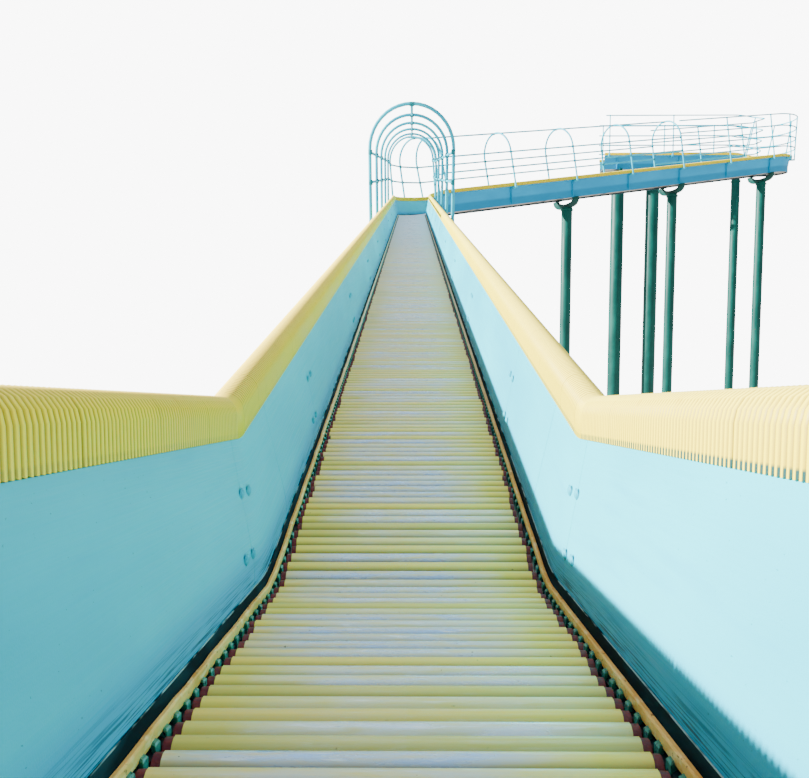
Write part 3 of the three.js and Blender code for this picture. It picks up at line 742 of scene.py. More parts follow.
def wall_enamel(name, base, faded, dirt, rubbed=0.85):
    """Gloss enamel sprayed on pressed steel sheet.

    It gives an even, bright face that fades in soft patches. Long scratches follow the cove at
    its foot, where shoes rub, and the foot is tinted darker with dust and painted shade."""
    material, tree = new_material(name)
    place, _, _, above = bench_place(tree)
    # Faded patches about a metre wide
    patches = cloud(tree, place, 1.1, (1, 0.7, 2), 0.4, 0.66)
    # Dust and painted shade: a darker tint towards the wall's foot, up past its knee
    cove = add_node(tree, "MapRange", {"Value": above, "From Min": 0.112, "From Max": 0.070})
    dust_and_painted_shade = add_node(tree, "Math", {0: cove, 1: 0.7}, operation="MULTIPLY")
    # Scratches 2.4 mm apart and 0.2 m long: real ones are finer, and wouldn't show
    streaks = stretched_noise(tree, place, 420, (1, 0.012, 1), 4)
    sharp = add_node(tree, "MapRange", {"Value": streaks, "From Min": 0.52, "From Max": 0.57})
    low = add_node(tree, "MapRange", {"Value": above, "From Min": 0.080, "From Max": 0.040})
    scratches = add_node(tree, "Math", {0: sharp, 1: low}, operation="MULTIPLY")
    scratches = add_node(tree, "Math", {0: scratches, 1: rubbed}, operation="MULTIPLY")
    # Rain marks 40 mm apart, and specks of 4.5 mm
    wash = cloud(tree, place, 26, (1, 0.08, 1), 0.6, 0.75, most=0.22)
    specks = cloud(tree, place, 220, (1, 0.5, 1), 0.73, 0.76, 2, most=0.6)
    # The dirt colour gives the rain marks, and the dust and painted shade at the wall's foot
    paint = layered(
        tree, base, (patches, faded), (dust_and_painted_shade, dirt), (scratches, "#00384E"), (wash, dirt),
        (specks, "#0B4E58"),
    )
    worn = {"Value": streaks, "From Min": 0.3, "From Max": 0.8, "To Min": 0.35, "To Max": 0.6}
    dull = add_node(tree, "MapRange", worn)
    # Orange peel of 2.4 mm, as sprayed
    peel = stretched_noise(tree, place, 420, (1, 1, 1), 1)
    gloss = {"IOR": 1.5, "Specular IOR Level": 0.12}
    return finish_shader(material, paint, dull, gloss, peel, 0.0003)


def guard_vinyl():
    """Soft vinyl moulded in ribs.

    It gives a satin yellow, pale on top where the sun bleaches it, with painted shade in the
    grooves and a painted dark teal shadow between the ribs' feet, strongest on the right guard.
    The right guard is tinted more lemon than the left, as painted sunlight."""
    material, tree = new_material("Moulded soft vinyl, yellow")
    place, across, _, above = bench_place(tree)
    groove = add_node(tree, "Attribute", attribute_name="groove").outputs["Fac"]
    # Uneven colour about 0.3 m wide
    patches = cloud(tree, place, 3, (1, 0.5, 1), 0.4, 0.65)
    # Painted sunlight: the right guard, which faces the sun, is tinted more lemon than the shaded
    # left one
    side = {"Value": across, "From Min": -0.1, "From Max": 0.1, "To Max": 0.9}
    right = add_node(tree, "MapRange", side)
    top = add_node(tree, "MapRange", {"Value": above, "From Min": 0.385, "From Max": 0.41})
    sunned = add_node(tree, "Math", {0: top, 1: 0.5}, operation="MULTIPLY")
    # Grime in spots of 25 mm
    grime = cloud(tree, place, 40, (1, 1, 0.3), 0.6, 0.75, 4, most=0.35)
    # Painted shade in the grooves between ribs, and a painted shadow at the ribs' feet, kept mostly
    # to the right guard
    shaded = add_node(tree, "MapRange", {"Value": groove, "From Min": 0.2, "From Max": 0.85})
    deep = add_node(tree, "MapRange", {"Value": groove, "From Min": 0.25, "From Max": 0.45})
    foot = add_node(tree, "MapRange", {"Value": above, "From Min": 0.335, "From Max": 0.331})
    painted_foot_shadow = add_node(tree, "Math", {0: deep, 1: foot}, operation="MULTIPLY")
    clear = add_node(tree, "MapRange", {"Value": across, "From Max": 0.01, "To Min": 0.25})
    painted_foot_shadow = add_node(tree, "Math", {0: painted_foot_shadow, 1: clear}, operation="MULTIPLY")
    base = layered(
        tree, "#F8D000", (patches, "#FFDC08"), (right, "#E6D400"), (sunned, "#FFF27C"),
        (grime, "#C9A80A"), (shaded, "#927C00"), (painted_foot_shadow, "#06403E"),
    )
    # Mould grain of 1.1 mm
    grain = stretched_noise(tree, place, 900, (1, 1, 1), 1)
    gloss = {"IOR": 1.5, "Specular IOR Level": 0.25}
    return finish_shader(material, base, (patches, 0.42, 0.6), gloss, grain, 0.0002)


def roller_coating():
    """Yellow polyester coating on steel tube, polished by riders.

    The middle shows pale steel in streaks, more on some rollers than on others; its blue
    tint is a painted reflection of the sky, and white glints on it are painted highlights.
    The ends keep their yellow, painted shade darkens the underside, and the rollers turn pale
    lilac further up the slide."""
    material, tree = new_material("Polyester-coated steel tube, worn")
    place, across, along, above = bench_place(tree)
    own = add_node(tree, "Attribute", attribute_name="number").outputs["Fac"]
    lot = add_node(tree, "TexWhiteNoise", {"W": own}, noise_dimensions="1D")
    other = add_node(tree, "Math", {0: own, 1: 57.3}, operation="ADD")
    lot_two = add_node(tree, "TexWhiteNoise", {"W": other}, noise_dimensions="1D")
    olive = add_node(tree, "MapRange", {"Value": lot_two, "From Min": 0.6})
    drift = add_node(tree, "MapRange", {"Value": lot_two, "To Min": -0.06, "To Max": 0.06})
    offset = add_node(tree, "Math", {0: across, 1: drift}, operation="SUBTRACT")
    offset = add_node(tree, "Math", {0: offset}, operation="ABSOLUTE")
    middle = add_node(tree, "MapRange", {"Value": offset, "From Min": 0.270, "From Max": 0.12})
    # Polished streaks of 13 mm by 95 mm, along the roller
    streaks = cloud(tree, place, 30, (0.35, 2.5, 2.5), 0.32, 0.62, 4, least=0.3)
    use = {"Value": lot, "From Min": 0.2, "From Max": 0.65, "To Min": 0.08}
    amount = add_node(tree, "MapRange", use)
    worn = add_node(tree, "Math", {0: middle, 1: streaks}, operation="MULTIPLY")
    worn = add_node(tree, "Math", {0: worn, 1: amount}, operation="MULTIPLY")
    # Worn steel in the streaks, tinted blue as a painted reflection of the sky
    steel_with_painted_sky = layered(tree, "#A8D0FF", (lot_two, "#E6F4FF"))
    # Painted highlights: white glints of 7 mm by 53 mm on the worn steel
    glints = cloud(tree, place, 75, (0.25, 2, 2), 0.6, 0.72)
    painted_glints = add_node(tree, "Math", {0: glints, 1: worn}, operation="MULTIPLY")
    # Rollers turn pale lilac further up the slide
    far = {"Value": along, "From Min": 2.2, "From Max": 15.0, "To Min": 0.05, "To Max": 0.9}
    paler_up_slide = add_node(tree, "MapRange", far)
    # Specks of 8 mm
    specks = cloud(tree, place, 130, (1, 1, 1), 0.74, 0.77, 2, most=0.7)
    # Painted shade on the underside of each roller, where the rollers hide one another from the sky
    under = {"Value": above, "From Min": UNSHADED_ABOVE, "From Max": -0.0125}
    below = add_node(tree, "MapRange", under)
    painted_underside_shade = add_node(tree, "Math", {0: below, 1: 0.85}, operation="MULTIPLY")
    base = layered(
        tree, "#FFCE2C", (lot_two, "#FFE24C"), (olive, "#D8BC3C"), (worn, steel_with_painted_sky),
        (painted_glints, "#FFFFFF"), (paler_up_slide, "#E6D8E8"), (specks, "#4A4630"), (painted_underside_shade, "#4A3F14"),
    )
    metallic = add_node(tree, "Math", {0: worn, 1: 0.6}, operation="MULTIPLY")
    # Lathe marks 2 mm apart: real ones are finer, and wouldn't show
    lathe = stretched_noise(tree, place, 500, (0.02, 1, 1), 2)
    gloss = {"Metallic": metallic, "IOR": 1.5, "Specular IOR Level": 0.4}
    return finish_shader(material, base, (worn, 0.4, 0.24), gloss, lathe, 0.0002)


def cap_nylon():
    """Moulded nylon bearing cap: matt maroon, with dust where it is never touched."""
    material, tree = new_material("Moulded nylon, maroon")
    place = bench_place(tree)[0]
    # Dust in spots of 11 mm
    dust = cloud(tree, place, 90, (1, 1, 1), 0.45, 0.7)
    base = layered(tree, "#5C0E18", (dust, "#783034"))
    gloss = {"IOR": 1.53, "Specular IOR Level": 0.3}
    return finish_shader(material, base, (dust, 0.4, 0.7), gloss, dust, 0.0002)


def frame_enamel():
    """Brushed-on dark teal enamel over welded steel: dull, with dust and rust freckles."""
    material, tree = new_material("Brushed enamel on welded steel")
    place = bench_place(tree)[0]
    # Dust in drifts of 0.14 m, rust in spots of 17 mm
    dust = cloud(tree, place, 7, (1, 0.4, 1), 0.4, 0.7, 4)
    rust = cloud(tree, place, 60, (1, 1, 1), 0.66, 0.72, 4, most=0.8)
    base = layered(tree, "#02161E", (dust, "#0B3A44"), (rust, "#6B3A1E"))
    gloss = {"Specular IOR Level": 0.3}
    return finish_shader(material, base, (dust, 0.45, 0.7), gloss, rust, 0.0004)


def seat_enamel():
    """Teal enamel on the pressed seats that hold the axles: bright, chipped at the edges."""
    material, tree = new_material("Enamel on pressed axle seats")
    place = bench_place(tree)[0]
    # Chips of 7 mm
    chips = cloud(tree, place, 150, (1, 1, 1), 0.58, 0.66)
    base = layered(tree, "#107468", (chips, "#032A32"))
    return finish_shader(material, base, (chips, 0.35, 0.7), {"IOR": 1.5}, chips, 0.0003)


def edge_bead():
    """Troweled polyurethane bead.

    It gives a matt ochre, browned by the sun in patches, nicked on top and paler up the
    slide."""
    material, tree = new_material("Weathered polyurethane bead")
    place, _, along, _ = bench_place(tree)
    # Patches of 70 mm, pale spots of 18 mm and nicks of 8 mm
    patches = cloud(tree, place, 14, (1, 0.6, 1), 0.38, 0.66, 4)
    pale = cloud(tree, place, 55, (1, 0.4, 1), 0.56, 0.7, most=0.8)
    nicks = cloud(tree, place, 120, (1, 0.5, 1), 0.64, 0.7, most=0.8)
    far = {"Value": along, "From Min": 2.2, "From Max": 6.0, "To Max": 0.8}
    upward = add_node(tree, "MapRange", far)
    base = layered(
        tree, "#F4BC64", (patches, "#DC9A3E"), (pale, "#FCD894"), (nicks, "#7C4A22"),
        (upward, "#F2E6CC"),
    )
    # Trowel marks of 6 mm
    skin = stretched_noise(tree, place, 160, (1, 0.5, 1))
    return finish_shader(material, base, 0.75, {"IOR": 1.45}, skin, 0.001)


def seal_rubber():
    """Extruded rubber seal: near black and dull, with a thin pale edge where it is rubbed."""
    material, tree = new_material("Extruded seal rubber")
    place, _, _, above = bench_place(tree)
    # Dust in drifts of 40 mm, rubbed places of 17 mm
    dust = cloud(tree, place, 25, (1, 0.2, 1), 0.45, 0.72, 4)
    rubbed = cloud(tree, place, 60, (1, 0.2, 1), 0.42, 0.55, 2)
    top = add_node(tree, "MapRange", {"Value": above, "From Min": 0.0288, "From Max": 0.0302})
    edge = add_node(tree, "Math", {0: top, 1: rubbed}, operation="MULTIPLY")
    base = layered(tree, "#08181E", (dust, "#1C3840"), (edge, "#A4BEBE"))
    gloss = {"IOR": 1.45, "Specular IOR Level": 0.04}
    return finish_shader(material, base, (dust, 0.75, 0.95), gloss, dust, 0.0003)


def pipe_enamel(name, base, pale, on_bench=True):
    """Gloss enamel on steel pipe: soft highlights, chalked pale where it weathers."""
    material, tree = new_material(name)
    place = bench_place(tree)[0] if on_bench else add_node(tree, "TexCoord").outputs["Object"]
    # Chalking in patches of 0.45 m, rust in spots of 22 mm, brush runs of 29 mm
    chalk = cloud(tree, place, 2.2, (1, 1, 0.6), 0.4, 0.68, 4)
    rust = cloud(tree, place, 45, (1, 1, 0.6), 0.7, 0.75, 4, most=0.7)
    paint = layered(tree, base, (chalk, pale), (rust, "#7A4A2A"))
    runs = stretched_noise(tree, place, 35, (1, 1, 0.25), 2)
    gloss = {"IOR": 1.5, "Specular IOR Level": 0.15}
    return finish_shader(material, paint, (chalk, 0.4, 0.6), gloss, runs, 0.0006)


def zinc():
    """Hot-dip galvanised steel: grey, with crystals of about 8 mm."""
    material, tree = new_material("Hot-dip galvanised steel")
    place = add_node(tree, "TexCoord").outputs["Object"]
    crystals = add_node(tree, "TexVoronoi", {"Vector": place, "Scale": 120}).outputs
    base = layered(tree, "#8E9697", (crystals["Color"], "#B5BCBD"))
    spread = {"Value": crystals["Distance"], "From Max": 0.7, "To Min": 0.35, "To Max": 0.6}
    rough = add_node(tree, "MapRange", spread)
    return finish_shader(material, base, rough, {"Metallic": 0.9})


def tread_plate():
    """Rolled tread plate, galvanised: raised lozenges every 30 mm, rubbed bright on top."""
    material, tree = new_material("Galvanised tread plate")
    place = bench_place(tree)[0]
    turned = {"Vector": place, "Scale": (1, 0.5, 1), "Rotation": (0, 0, math.radians(45))}
    turned = add_node(tree, "Mapping", turned)
    cells = add_node(tree, "TexVoronoi", {"Vector": turned, "Scale": 33, "Randomness": 0.0})
    lozenge = add_node(tree, "MapRange", {"Value": cells, "From Min": 0.3, "From Max": 0.2})
    bright = add_node(tree, "Math", {0: lozenge, 1: 0.6}, operation="MULTIPLY")
    # Dirt in patches of 0.2 m
    dirt = cloud(tree, place, 5, (1, 1, 1), 0.4, 0.65, 4)
    base = layered(tree, "#8C9394", (dirt, "#666C6C"), (bright, "#B9BEBE"))
    return finish_shader(material, base, (dirt, 0.4, 0.65), {"Metallic": 0.8}, lozenge, 0.0015)


def studio_floor():
    """Matt floor paint, pale and a little uneven."""
    material, tree = new_material("Matt floor paint, pale")
    place = add_node(tree, "TexCoord").outputs["Object"]
    tone = cloud(tree, place, 0.6, (1, 1, 1), 0.3, 0.7, 4)
    base = layered(tree, "#BFC1BF", (tone, "#C9CBC8"))
    return finish_shader(material, base, 0.9, {"IOR": 1.45})


# Sizes and colours that a user would change


class SlideSizes(bpy.types.PropertyGroup):
    """Sizes of the pieces that repeat along the slide."""

    roller_radius: bpy.props.FloatProperty(
        name="Roller radius", description="Outer radius of a roller's tube",
        default=ROLLER_RADIUS, unit="LENGTH",
    )
    tube_half_length: bpy.props.FloatProperty(
        name="Tube half length", description="Half the length of a roller's tube",
        default=ROLLER_HALF_LENGTH, unit="LENGTH",
    )
    guard_rib: bpy.props.FloatProperty(
        name="Guard rib", description="Spacing of the ribs on the edge guards",
        default=0.0131, unit="LENGTH",
    )
    hoop_pipe: bpy.props.FloatProperty(
        name="Hoop pipe", description="Outer radius of the hoops' pipe",
        default=0.0207, unit="LENGTH",
    )
    rail_pipe: bpy.props.FloatProperty(
        name="Rail pipe", description="Outer radius of the pipes along the hoops",
        default=0.0168, unit="LENGTH",
    )


class SlideColours(bpy.types.PropertyGroup):
    """Colours of the painted pieces."""

    wall: bpy.props.FloatVectorProperty(
        name="Walls inside", description="Enamel on the inner faces of the walls",
        subtype="COLOR", size=4, default=colour("#00A6BE"),
    )
    # The walls' outer faces take a darker, bluer copy of the wall enamel: painted shade
    shaded_fascia: bpy.props.FloatVectorProperty(
        name="Walls outside", description="Enamel on the outer faces of the walls",
        subtype="COLOR", size=4, default=colour("#0084B0"),
    )
    hoop: bpy.props.FloatVectorProperty(
        name="Hoops and rails", description="Enamel on the hoops and railings",
        subtype="COLOR", size=4, default=colour("#0094B0"),
    )
    column: bpy.props.FloatVectorProperty(
        name="Columns", description="Enamel on the columns and their yokes",
        subtype="COLOR", size=4, default=colour("#003A34"),
    )


# Painted steel: each finish's material, its two colours and whether it follows the bench
PIPE_FINISHES = {
    "clamp": ("Gloss enamel on cast clamps", "#0A6670", "#16808A", True),
    "nut": ("Enamel over dome nuts", "#009CB4", "#06A8BC", True),
    "flange": ("Enamel on folded flanges", "#0080A8", "#008CB4", True),
    "yoke": ("Enamel over flame-cut plate", "#002E2A", "#003E38", False),
}
FINISHES = {}


def make_finishes():
    """Every finish, by its short name."""
    colours = bpy.context.scene.slide_colours
    sheet = "Gloss enamel on pressed sheet"
    pipe = "Gloss enamel on steel"
    FINISHES["wall"] = wall_enamel(f"{sheet}, turquoise", colours.wall, "#06BACE", "#008AB8")
    # A darker, bluer copy of the wall enamel for the walls' outer faces, as painted shade
    FINISHES["shaded_fascia"] = wall_enamel(f"{sheet}, blue", colours.shaded_fascia, "#0090BC", "#007098", 0.1)
    FINISHES["guard"] = guard_vinyl()
    FINISHES["roller"] = roller_coating()
    FINISHES["cap"] = cap_nylon()
    FINISHES["frame"] = frame_enamel()
    FINISHES["seat"] = seat_enamel()
    FINISHES["bead"] = edge_bead()
    FINISHES["seal"] = seal_rubber()
    FINISHES["hoop"] = pipe_enamel(f"{pipe} pipe, light teal", colours.hoop, "#28B4C8")
    FINISHES["column"] = pipe_enamel(f"{pipe} column", colours.column, "#004A42", False)
    for name, (title, base, pale, on_bench) in PIPE_FINISHES.items():
        FINISHES[name] = pipe_enamel(title, base, pale, on_bench)
    FINISHES["zinc"] = zinc()
    FINISHES["deck"] = tread_plate()
    FINISHES["floor"] = studio_floor()


def finish(name):
    """A finish by its short name; all are made when the first is asked for."""
    if not FINISHES:
        make_finishes()
    return FINISHES[name]


# Places that several pieces share


def roller_count(start, end):
    """Rollers on a straight leg."""
    return round(slope_length(start, end) / ROLLER_PITCH)


def bend_roller_count(leg):
    """Rollers round a bend, spaced so that their inner ends stay apart."""
    start, end, curvature = LEGS[leg]
    radius = 1 / abs(curvature)
    pitch = BEND_INNER_PITCH * radius / (radius - ROLLER_HALF_LENGTH)
    panels = BEND_PANELS[leg]
    return panels * math.floor(slope_length(start, end) / panels / pitch)


def spaced(start, end, count):
    """Middles of equal lengths between two distances."""
    step = (end - start) / count
    return [start + step * (i + 0.5) for i in range(count)]


RUN_OUT_ROLLERS = roller_count(0, RUN_OUT_END)
RUN_OUT_PLACES = spaced(0, RUN_OUT_END, RUN_OUT_ROLLERS)
AFTER_TURNING = FIRST_TURNING_ROLLER + TURNING_ROLLERS


def roller_rows():
    """Each row of fixed rollers: the CAD node it stands for and its rollers' places."""
    rows = {
        "exit": RUN_OUT_PLACES[:FIRST_TURNING_ROLLER],
        "run_out": RUN_OUT_PLACES[AFTER_TURNING:],
    }
    for leg in ("long_run", "upper_run", "bend", "u_turn"):
        start, end, curvature = LEGS[leg]
        count = bend_roller_count(leg) if curvature else roller_count(start, end)
        rows[leg] = spaced(start, end, count)
    return rows


def leg_rollers(leg):
    """Places of all the rollers on a leg."""
    return RUN_OUT_PLACES if leg == "run_out" else roller_rows()[leg]


def wall_joints():
    """Distances of the upright joints between wall panels."""
    joints = [FIRST_JOINT]
    joints.extend(np.arange(SECOND_JOINT, LONG_RUN_END - LEAST_LAST_PANELS[0], PANEL_LENGTH))
    legs = (BEND_END, UPPER_RUN_END, U_TURN_END)
    ends = (UPPER_RUN_END, U_TURN_END, WALKWAY_END)
    for start, end in zip(legs, ends):
        first = start + PANEL_LENGTH - JOINT_BEFORE_HOOP
        joints.extend(np.arange(first, end - LEAST_LAST_PANELS[1], PANEL_LENGTH))
    return [float(joint) for joint in joints]


def model_roller(sizes, place):
    """One roller at a place on the bench: a tube with stepped caps."""
    radius = sizes.roller_radius
    half_length = sizes.tube_half_length
    roller = rod(radius, (-half_length, 0, -radius), (half_length, 0, -radius), ROLLER_SIDES)
    edit_faces(roller, lambda face: abs(face.normal.x) > SQUARELY)
    bpy.ops.mesh.inset(thickness=CAP_STEP, depth=0)
    bpy.ops.mesh.inset(thickness=CAP_DRAFT, depth=CAP_LENGTH)
    leave_edit()
    tube_end = half_length + CAP_LENGTH / 4
    paint_faces(roller, ("roller", "cap"), lambda face: abs(face.center.x) > tube_end)
    roller.location.y = place
    return settle(roller)


class SLIDE_OT_rollers(bpy.types.Operator):
    """Model every roller with its caps"""

    bl_idname = "slide.rollers"
    bl_label = "Rollers"

    def execute(self, context):
        sizes = context.scene.slide_sizes
        for leg, places in roller_rows().items():
            roller = model_roller(sizes, places[0])
            repeat(roller, len(places), places[1] - places[0])
            lay_on_route(roller, places, stagger=END_STAGGER)
            finish_piece(roller, f"{leg}_rollers", [f"{leg}_roller_bed"])
        for index in range(TURNING_ROLLERS):
            place = RUN_OUT_PLACES[FIRST_TURNING_ROLLER + index]
            roller = model_roller(sizes, place)
            lay_on_route(roller, [place])
            for value in roller.data.attributes["number"].data:
                value.value = FIRST_TURNING_NUMBER + index
            # The turning rollers keep only part of the painted shade below, so a turned roller
            # shows no dark band
            for point in roller.data.attributes["bench"].data:
                point.vector.z = max(point.vector.z, TURNING_SHADE_END)
            name = f"turning_roller_{index + 1}"
            finish_piece(roller, f"{name}_tube", [name], body=f"roller_{index + 1}")
        return {"FINISHED"}


class SLIDE_OT_side_rails(bpy.types.Operator):
    """Model the side rails, their axle seats and the ties under the rollers"""

    bl_idname = "slide.side_rails"
    bl_label = "Side rails"

    def execute(self, context):
        for leg, (start, end, _) in LEGS.items():
            self.rails(leg, start, end)
            if leg != "walkway":
                self.seats(leg)
        return {"FINISHED"}

    def rails(self, leg, start, end):
        """Two channel rails with their ties and end plates."""
        top = RAIL_TOP - RAIL_EDGE
        outline = [
            (RAIL_INNER, RAIL_BOTTOM),
            (RAIL_OUTER, RAIL_BOTTOM),
            (RAIL_OUTER, top),
            (RAIL_INNER, top),
        ]
        places = stations(start, end)
        pieces = [extruded(for_hand(outline, sign), places) for sign in (1, -1)]
        for piece in pieces:
            lay_on_route(piece)
        tie_top = DECK_BOTTOM - TIE_DROP if leg == "walkway" else TIE_TOP
        ties = spaced(start, end, max(1, round((end - start) / TIE_SPACING)))
        low = (-RAIL_INNER, -TIE_WIDTH / 2, tie_top - TIE_THICKNESS)
        tie = block(low, (RAIL_INNER, TIE_WIDTH / 2, tie_top))
        bevel(tie, 0.002)
        pieces.append(along_route(tie, ties))
        if leg == "run_out":
            pieces.append(self.end_plate(0.0, RAIL_BOTTOM, EXIT_PLATE_TOP))
        if leg == "walkway":
            low = tie_top - START_PLATE_HEIGHT
            pieces.append(self.end_plate(end - END_PLATE_THICKNESS, low, tie_top))
        finish_piece(join(pieces), f"{leg}_rails", [f"{leg}_frame"], "frame")

    def end_plate(self, start, low, high):
        """A plate across the trough's end."""
        end = start + END_PLATE_THICKNESS
        plate = block((-RAIL_INNER, start, low), (RAIL_INNER, end, high))
        bevel(plate, 0.0015)
        lay_on_route(plate, [(start + end) / 2])
        return plate

    def seats(self, leg):
        """Pressed seats between the axles, along both rails."""
        places = leg_rollers(leg)
        step = places[1] - places[0]
        between = [place + step / 2 for place in places[:-1]]
        seat = block(
            (SEAT_INNER, between[0] - SEAT_LENGTH / 2, RAIL_TOP - SEAT_DEPTH),
            (SEAT_OUTER, between[0] + SEAT_LENGTH / 2, SEAT_TOP),
        )
        edit_faces(seat, lambda face: face.normal.x > SQUARELY)
        bpy.ops.transform.translate(value=(0, SEAT_LEAN, 0))
        bpy.ops.object.mode_set(mode="OBJECT")
        edit_faces(seat, lambda face: face.normal.z > SQUARELY)
        bpy.ops.mesh.bevel(offset=0.002, segments=1)
        leave_edit()
        repeat(seat, len(between), step)
        seats = both_hands(seat, between)
        finish_piece(seats, f"{leg}_axle_seats", [], "seat")


class SLIDE_OT_edge_strips(bpy.types.Operator):
    """Model the ochre bead and the dark seal between the rollers and the walls"""

    bl_idname = "slide.edge_strips"
    bl_label = "Edge strips"

    def execute(self, context):
        random = np.random.default_rng(7)
        for hand, sign in HANDS.items():
            outline = for_hand(BEAD_OUTLINE, sign)
            bead = extruded(outline, stations(0.0, U_TURN_END, BEAD_STEP))
            self.wave(bead, random)
            lay_on_route(bead)
            finish_piece(bead, f"edge_bead_{hand}", [], "bead")
        for hand, sign in HANDS.items():
            seal = extruded(for_hand(SEAL_OUTLINE, sign), stations(0.0, U_TURN_END))
            lay_on_route(seal)
            finish_piece(seal, f"wall_seal_{hand}", [], "seal")
        return {"FINISHED"}

    def wave(self, bead, random):
        """Give a strip the slight waver of one laid by hand."""
        points = read_points(bead)
        along = points[:, 1]
        for axis in (0, 2):
            for length in BEAD_WAVE_LENGTHS:
                phase = random.uniform(0, 2 * math.pi)
                points[:, axis] += BEAD_WAVE * np.sin(2 * math.pi * along / length + phase)
        write_points(bead, points)


def wall_outline():
    """Cross-section of the right wall, with a rounded cove and a lip."""
    cove = []
    for share in (-1, -0.5, 0, 0.5, 1):
        reach = COVE_BEND * (share + 1) * math.tan(WALL_LEAN * (share + 1) / 2) / 2
        cove.append((WALL_INNER + reach, WALL_KNEE + COVE_BEND * share))
    lip_foot = WALL_TOP - WALL_THICKNESS
    return [
        (WALL_INNER, RAIL_BOTTOM),
        (WALL_INNER + WALL_THICKNESS, RAIL_BOTTOM),
        *[(x + WALL_THICKNESS, z) for x, z in cove],
        (WALL_TOP_X + WALL_LIP_ROOT, lip_foot),
        (WALL_LIP_X, lip_foot),
        (WALL_LIP_X, WALL_TOP),
        (WALL_TOP_X, WALL_TOP),
        *reversed(cove),
    ]


class SLIDE_OT_walls(bpy.types.Operator):
    """Model the walls panel by panel, with the ribs and bolts of their joints"""

    bl_idname = "slide.walls"
    bl_label = "Walls"

    def execute(self, context):
        joints = wall_joints()
        for leg, (start, end, _) in LEGS.items():
            cuts = [start, *[joint for joint in joints if start < joint < end], end]
            for hand in HANDS:
                self.wall(leg, hand, cuts)
        self.ribs(joints)
        self.bolts(joints)
        return {"FINISHED"}

    def wall(self, leg, hand, cuts):
        """One side of a leg: panels with a hairline gap at each joint."""
        sign = HANDS[hand]
        outline = for_hand(wall_outline(), sign)
        panels = []
        for start, end in zip(cuts, cuts[1:]):
            panel = extruded(outline, stations(start + PANEL_GAP / 2, end - PANEL_GAP / 2))
            # Outer faces take the darker copy of the enamel, as painted shade
            paint_faces(panel, ("wall", "shaded_fascia"), lambda face: face.normal.x * sign > OUTWARD)
            panels.append(panel)
        wall = join(panels)
        lay_on_route(wall)
        finish_piece(wall, f"{leg}_panels_{hand}", [f"{leg}_wall_{hand}"])

    def ribs(self, joints):
        """Folded flanges that stand out behind each joint."""
        foot = WALL_INNER + WALL_THICKNESS - 0.001
        outline = [
            (foot, RAIL_BOTTOM + 0.001),
            (foot + FLANGE_FOOT, RAIL_BOTTOM + 0.001),
            (WALL_LIP_X - FLANGE_INSET, WALL_TOP - FLANGE_SHOULDER),
            (WALL_LIP_X - FLANGE_INSET, WALL_TOP - WALL_THICKNESS),
            (WALL_TOP_X + 0.004, WALL_TOP - WALL_THICKNESS),
            (foot + FLANGE_ROOT, WALL_KNEE),
        ]
        ribs = []
        for sign in (1, -1):
            rib = extruded(for_hand(outline, sign), [-FLANGE_HALF, FLANGE_HALF])
            bevel(rib, 0.001, 1)
            ribs.append(rib)
        flanges = along_route(join(ribs), joints)
        finish_piece(flanges, "joint_flanges", [], "flange")

    def bolts(self, joints):
        """Button heads beside each joint inside, and hexagon bolts through the rail outside."""
        places = []
        head = self.button_head()
        head.rotation_euler.y = -math.pi / 2 - WALL_LEAN
        settle(head)
        for height, middle in NUT_PAIRS:
            x = WALL_INNER + (height - WALL_KNEE) * math.tan(WALL_LEAN)
            for shift in (middle - NUT_SPREAD, middle + NUT_SPREAD):
                places.extend((x, joint + shift, height) for joint in joints)
        inside = both_hands(copies(head, places), joints)
        finish_piece(inside, "dome_nuts", [], "nut")
        radius, length = RAIL_BOLT
        bolt = rod(radius, (0, 0, 0), (length, 0, 0), 6)
        bevel(bolt, 0.001, 1)
        x = WALL_INNER + WALL_THICKNESS - 0.001
        places = []
        for joint in joints:
            for shift in RAIL_BOLT_SHIFTS:
                places.extend((x, joint + shift, height) for height in RAIL_BOLT_HEIGHTS)
        outside = both_hands(copies(bolt, places), joints)
        finish_piece(outside, "rail_bolts", [], "flange")

    def button_head(self):
        """A low button head on its washer, pointing up."""
        radius, thickness = NUT_WASHER
        washer = rod(radius, (0, 0, 0), (0, 0, thickness), 14)
        deselect()
        bpy.ops.mesh.primitive_uv_sphere_add(
            segments=12, ring_count=6, radius=NUT_RADIUS, location=(0, 0, thickness)
        )
        head = bpy.context.object
        head.scale.z = NUT_FLATNESS
        settle(head)
        return join([washer, head])


def guard_outline():
    """Cross-section of a guard's rib: flat foot, straight sides and a round top."""
    radius = (GUARD_OUTER - GUARD_INNER) / 2
    middle = GUARD_INNER + radius
    points = [(GUARD_INNER, GUARD_FOOT), (GUARD_OUTER, GUARD_FOOT)]
    for i in range(GUARD_TOP_STEPS + 1):
        angle = math.pi * i / GUARD_TOP_STEPS
        z = GUARD_SHOULDER + radius * math.sin(angle)
        points.append((middle + radius * math.cos(angle), z))
    return points


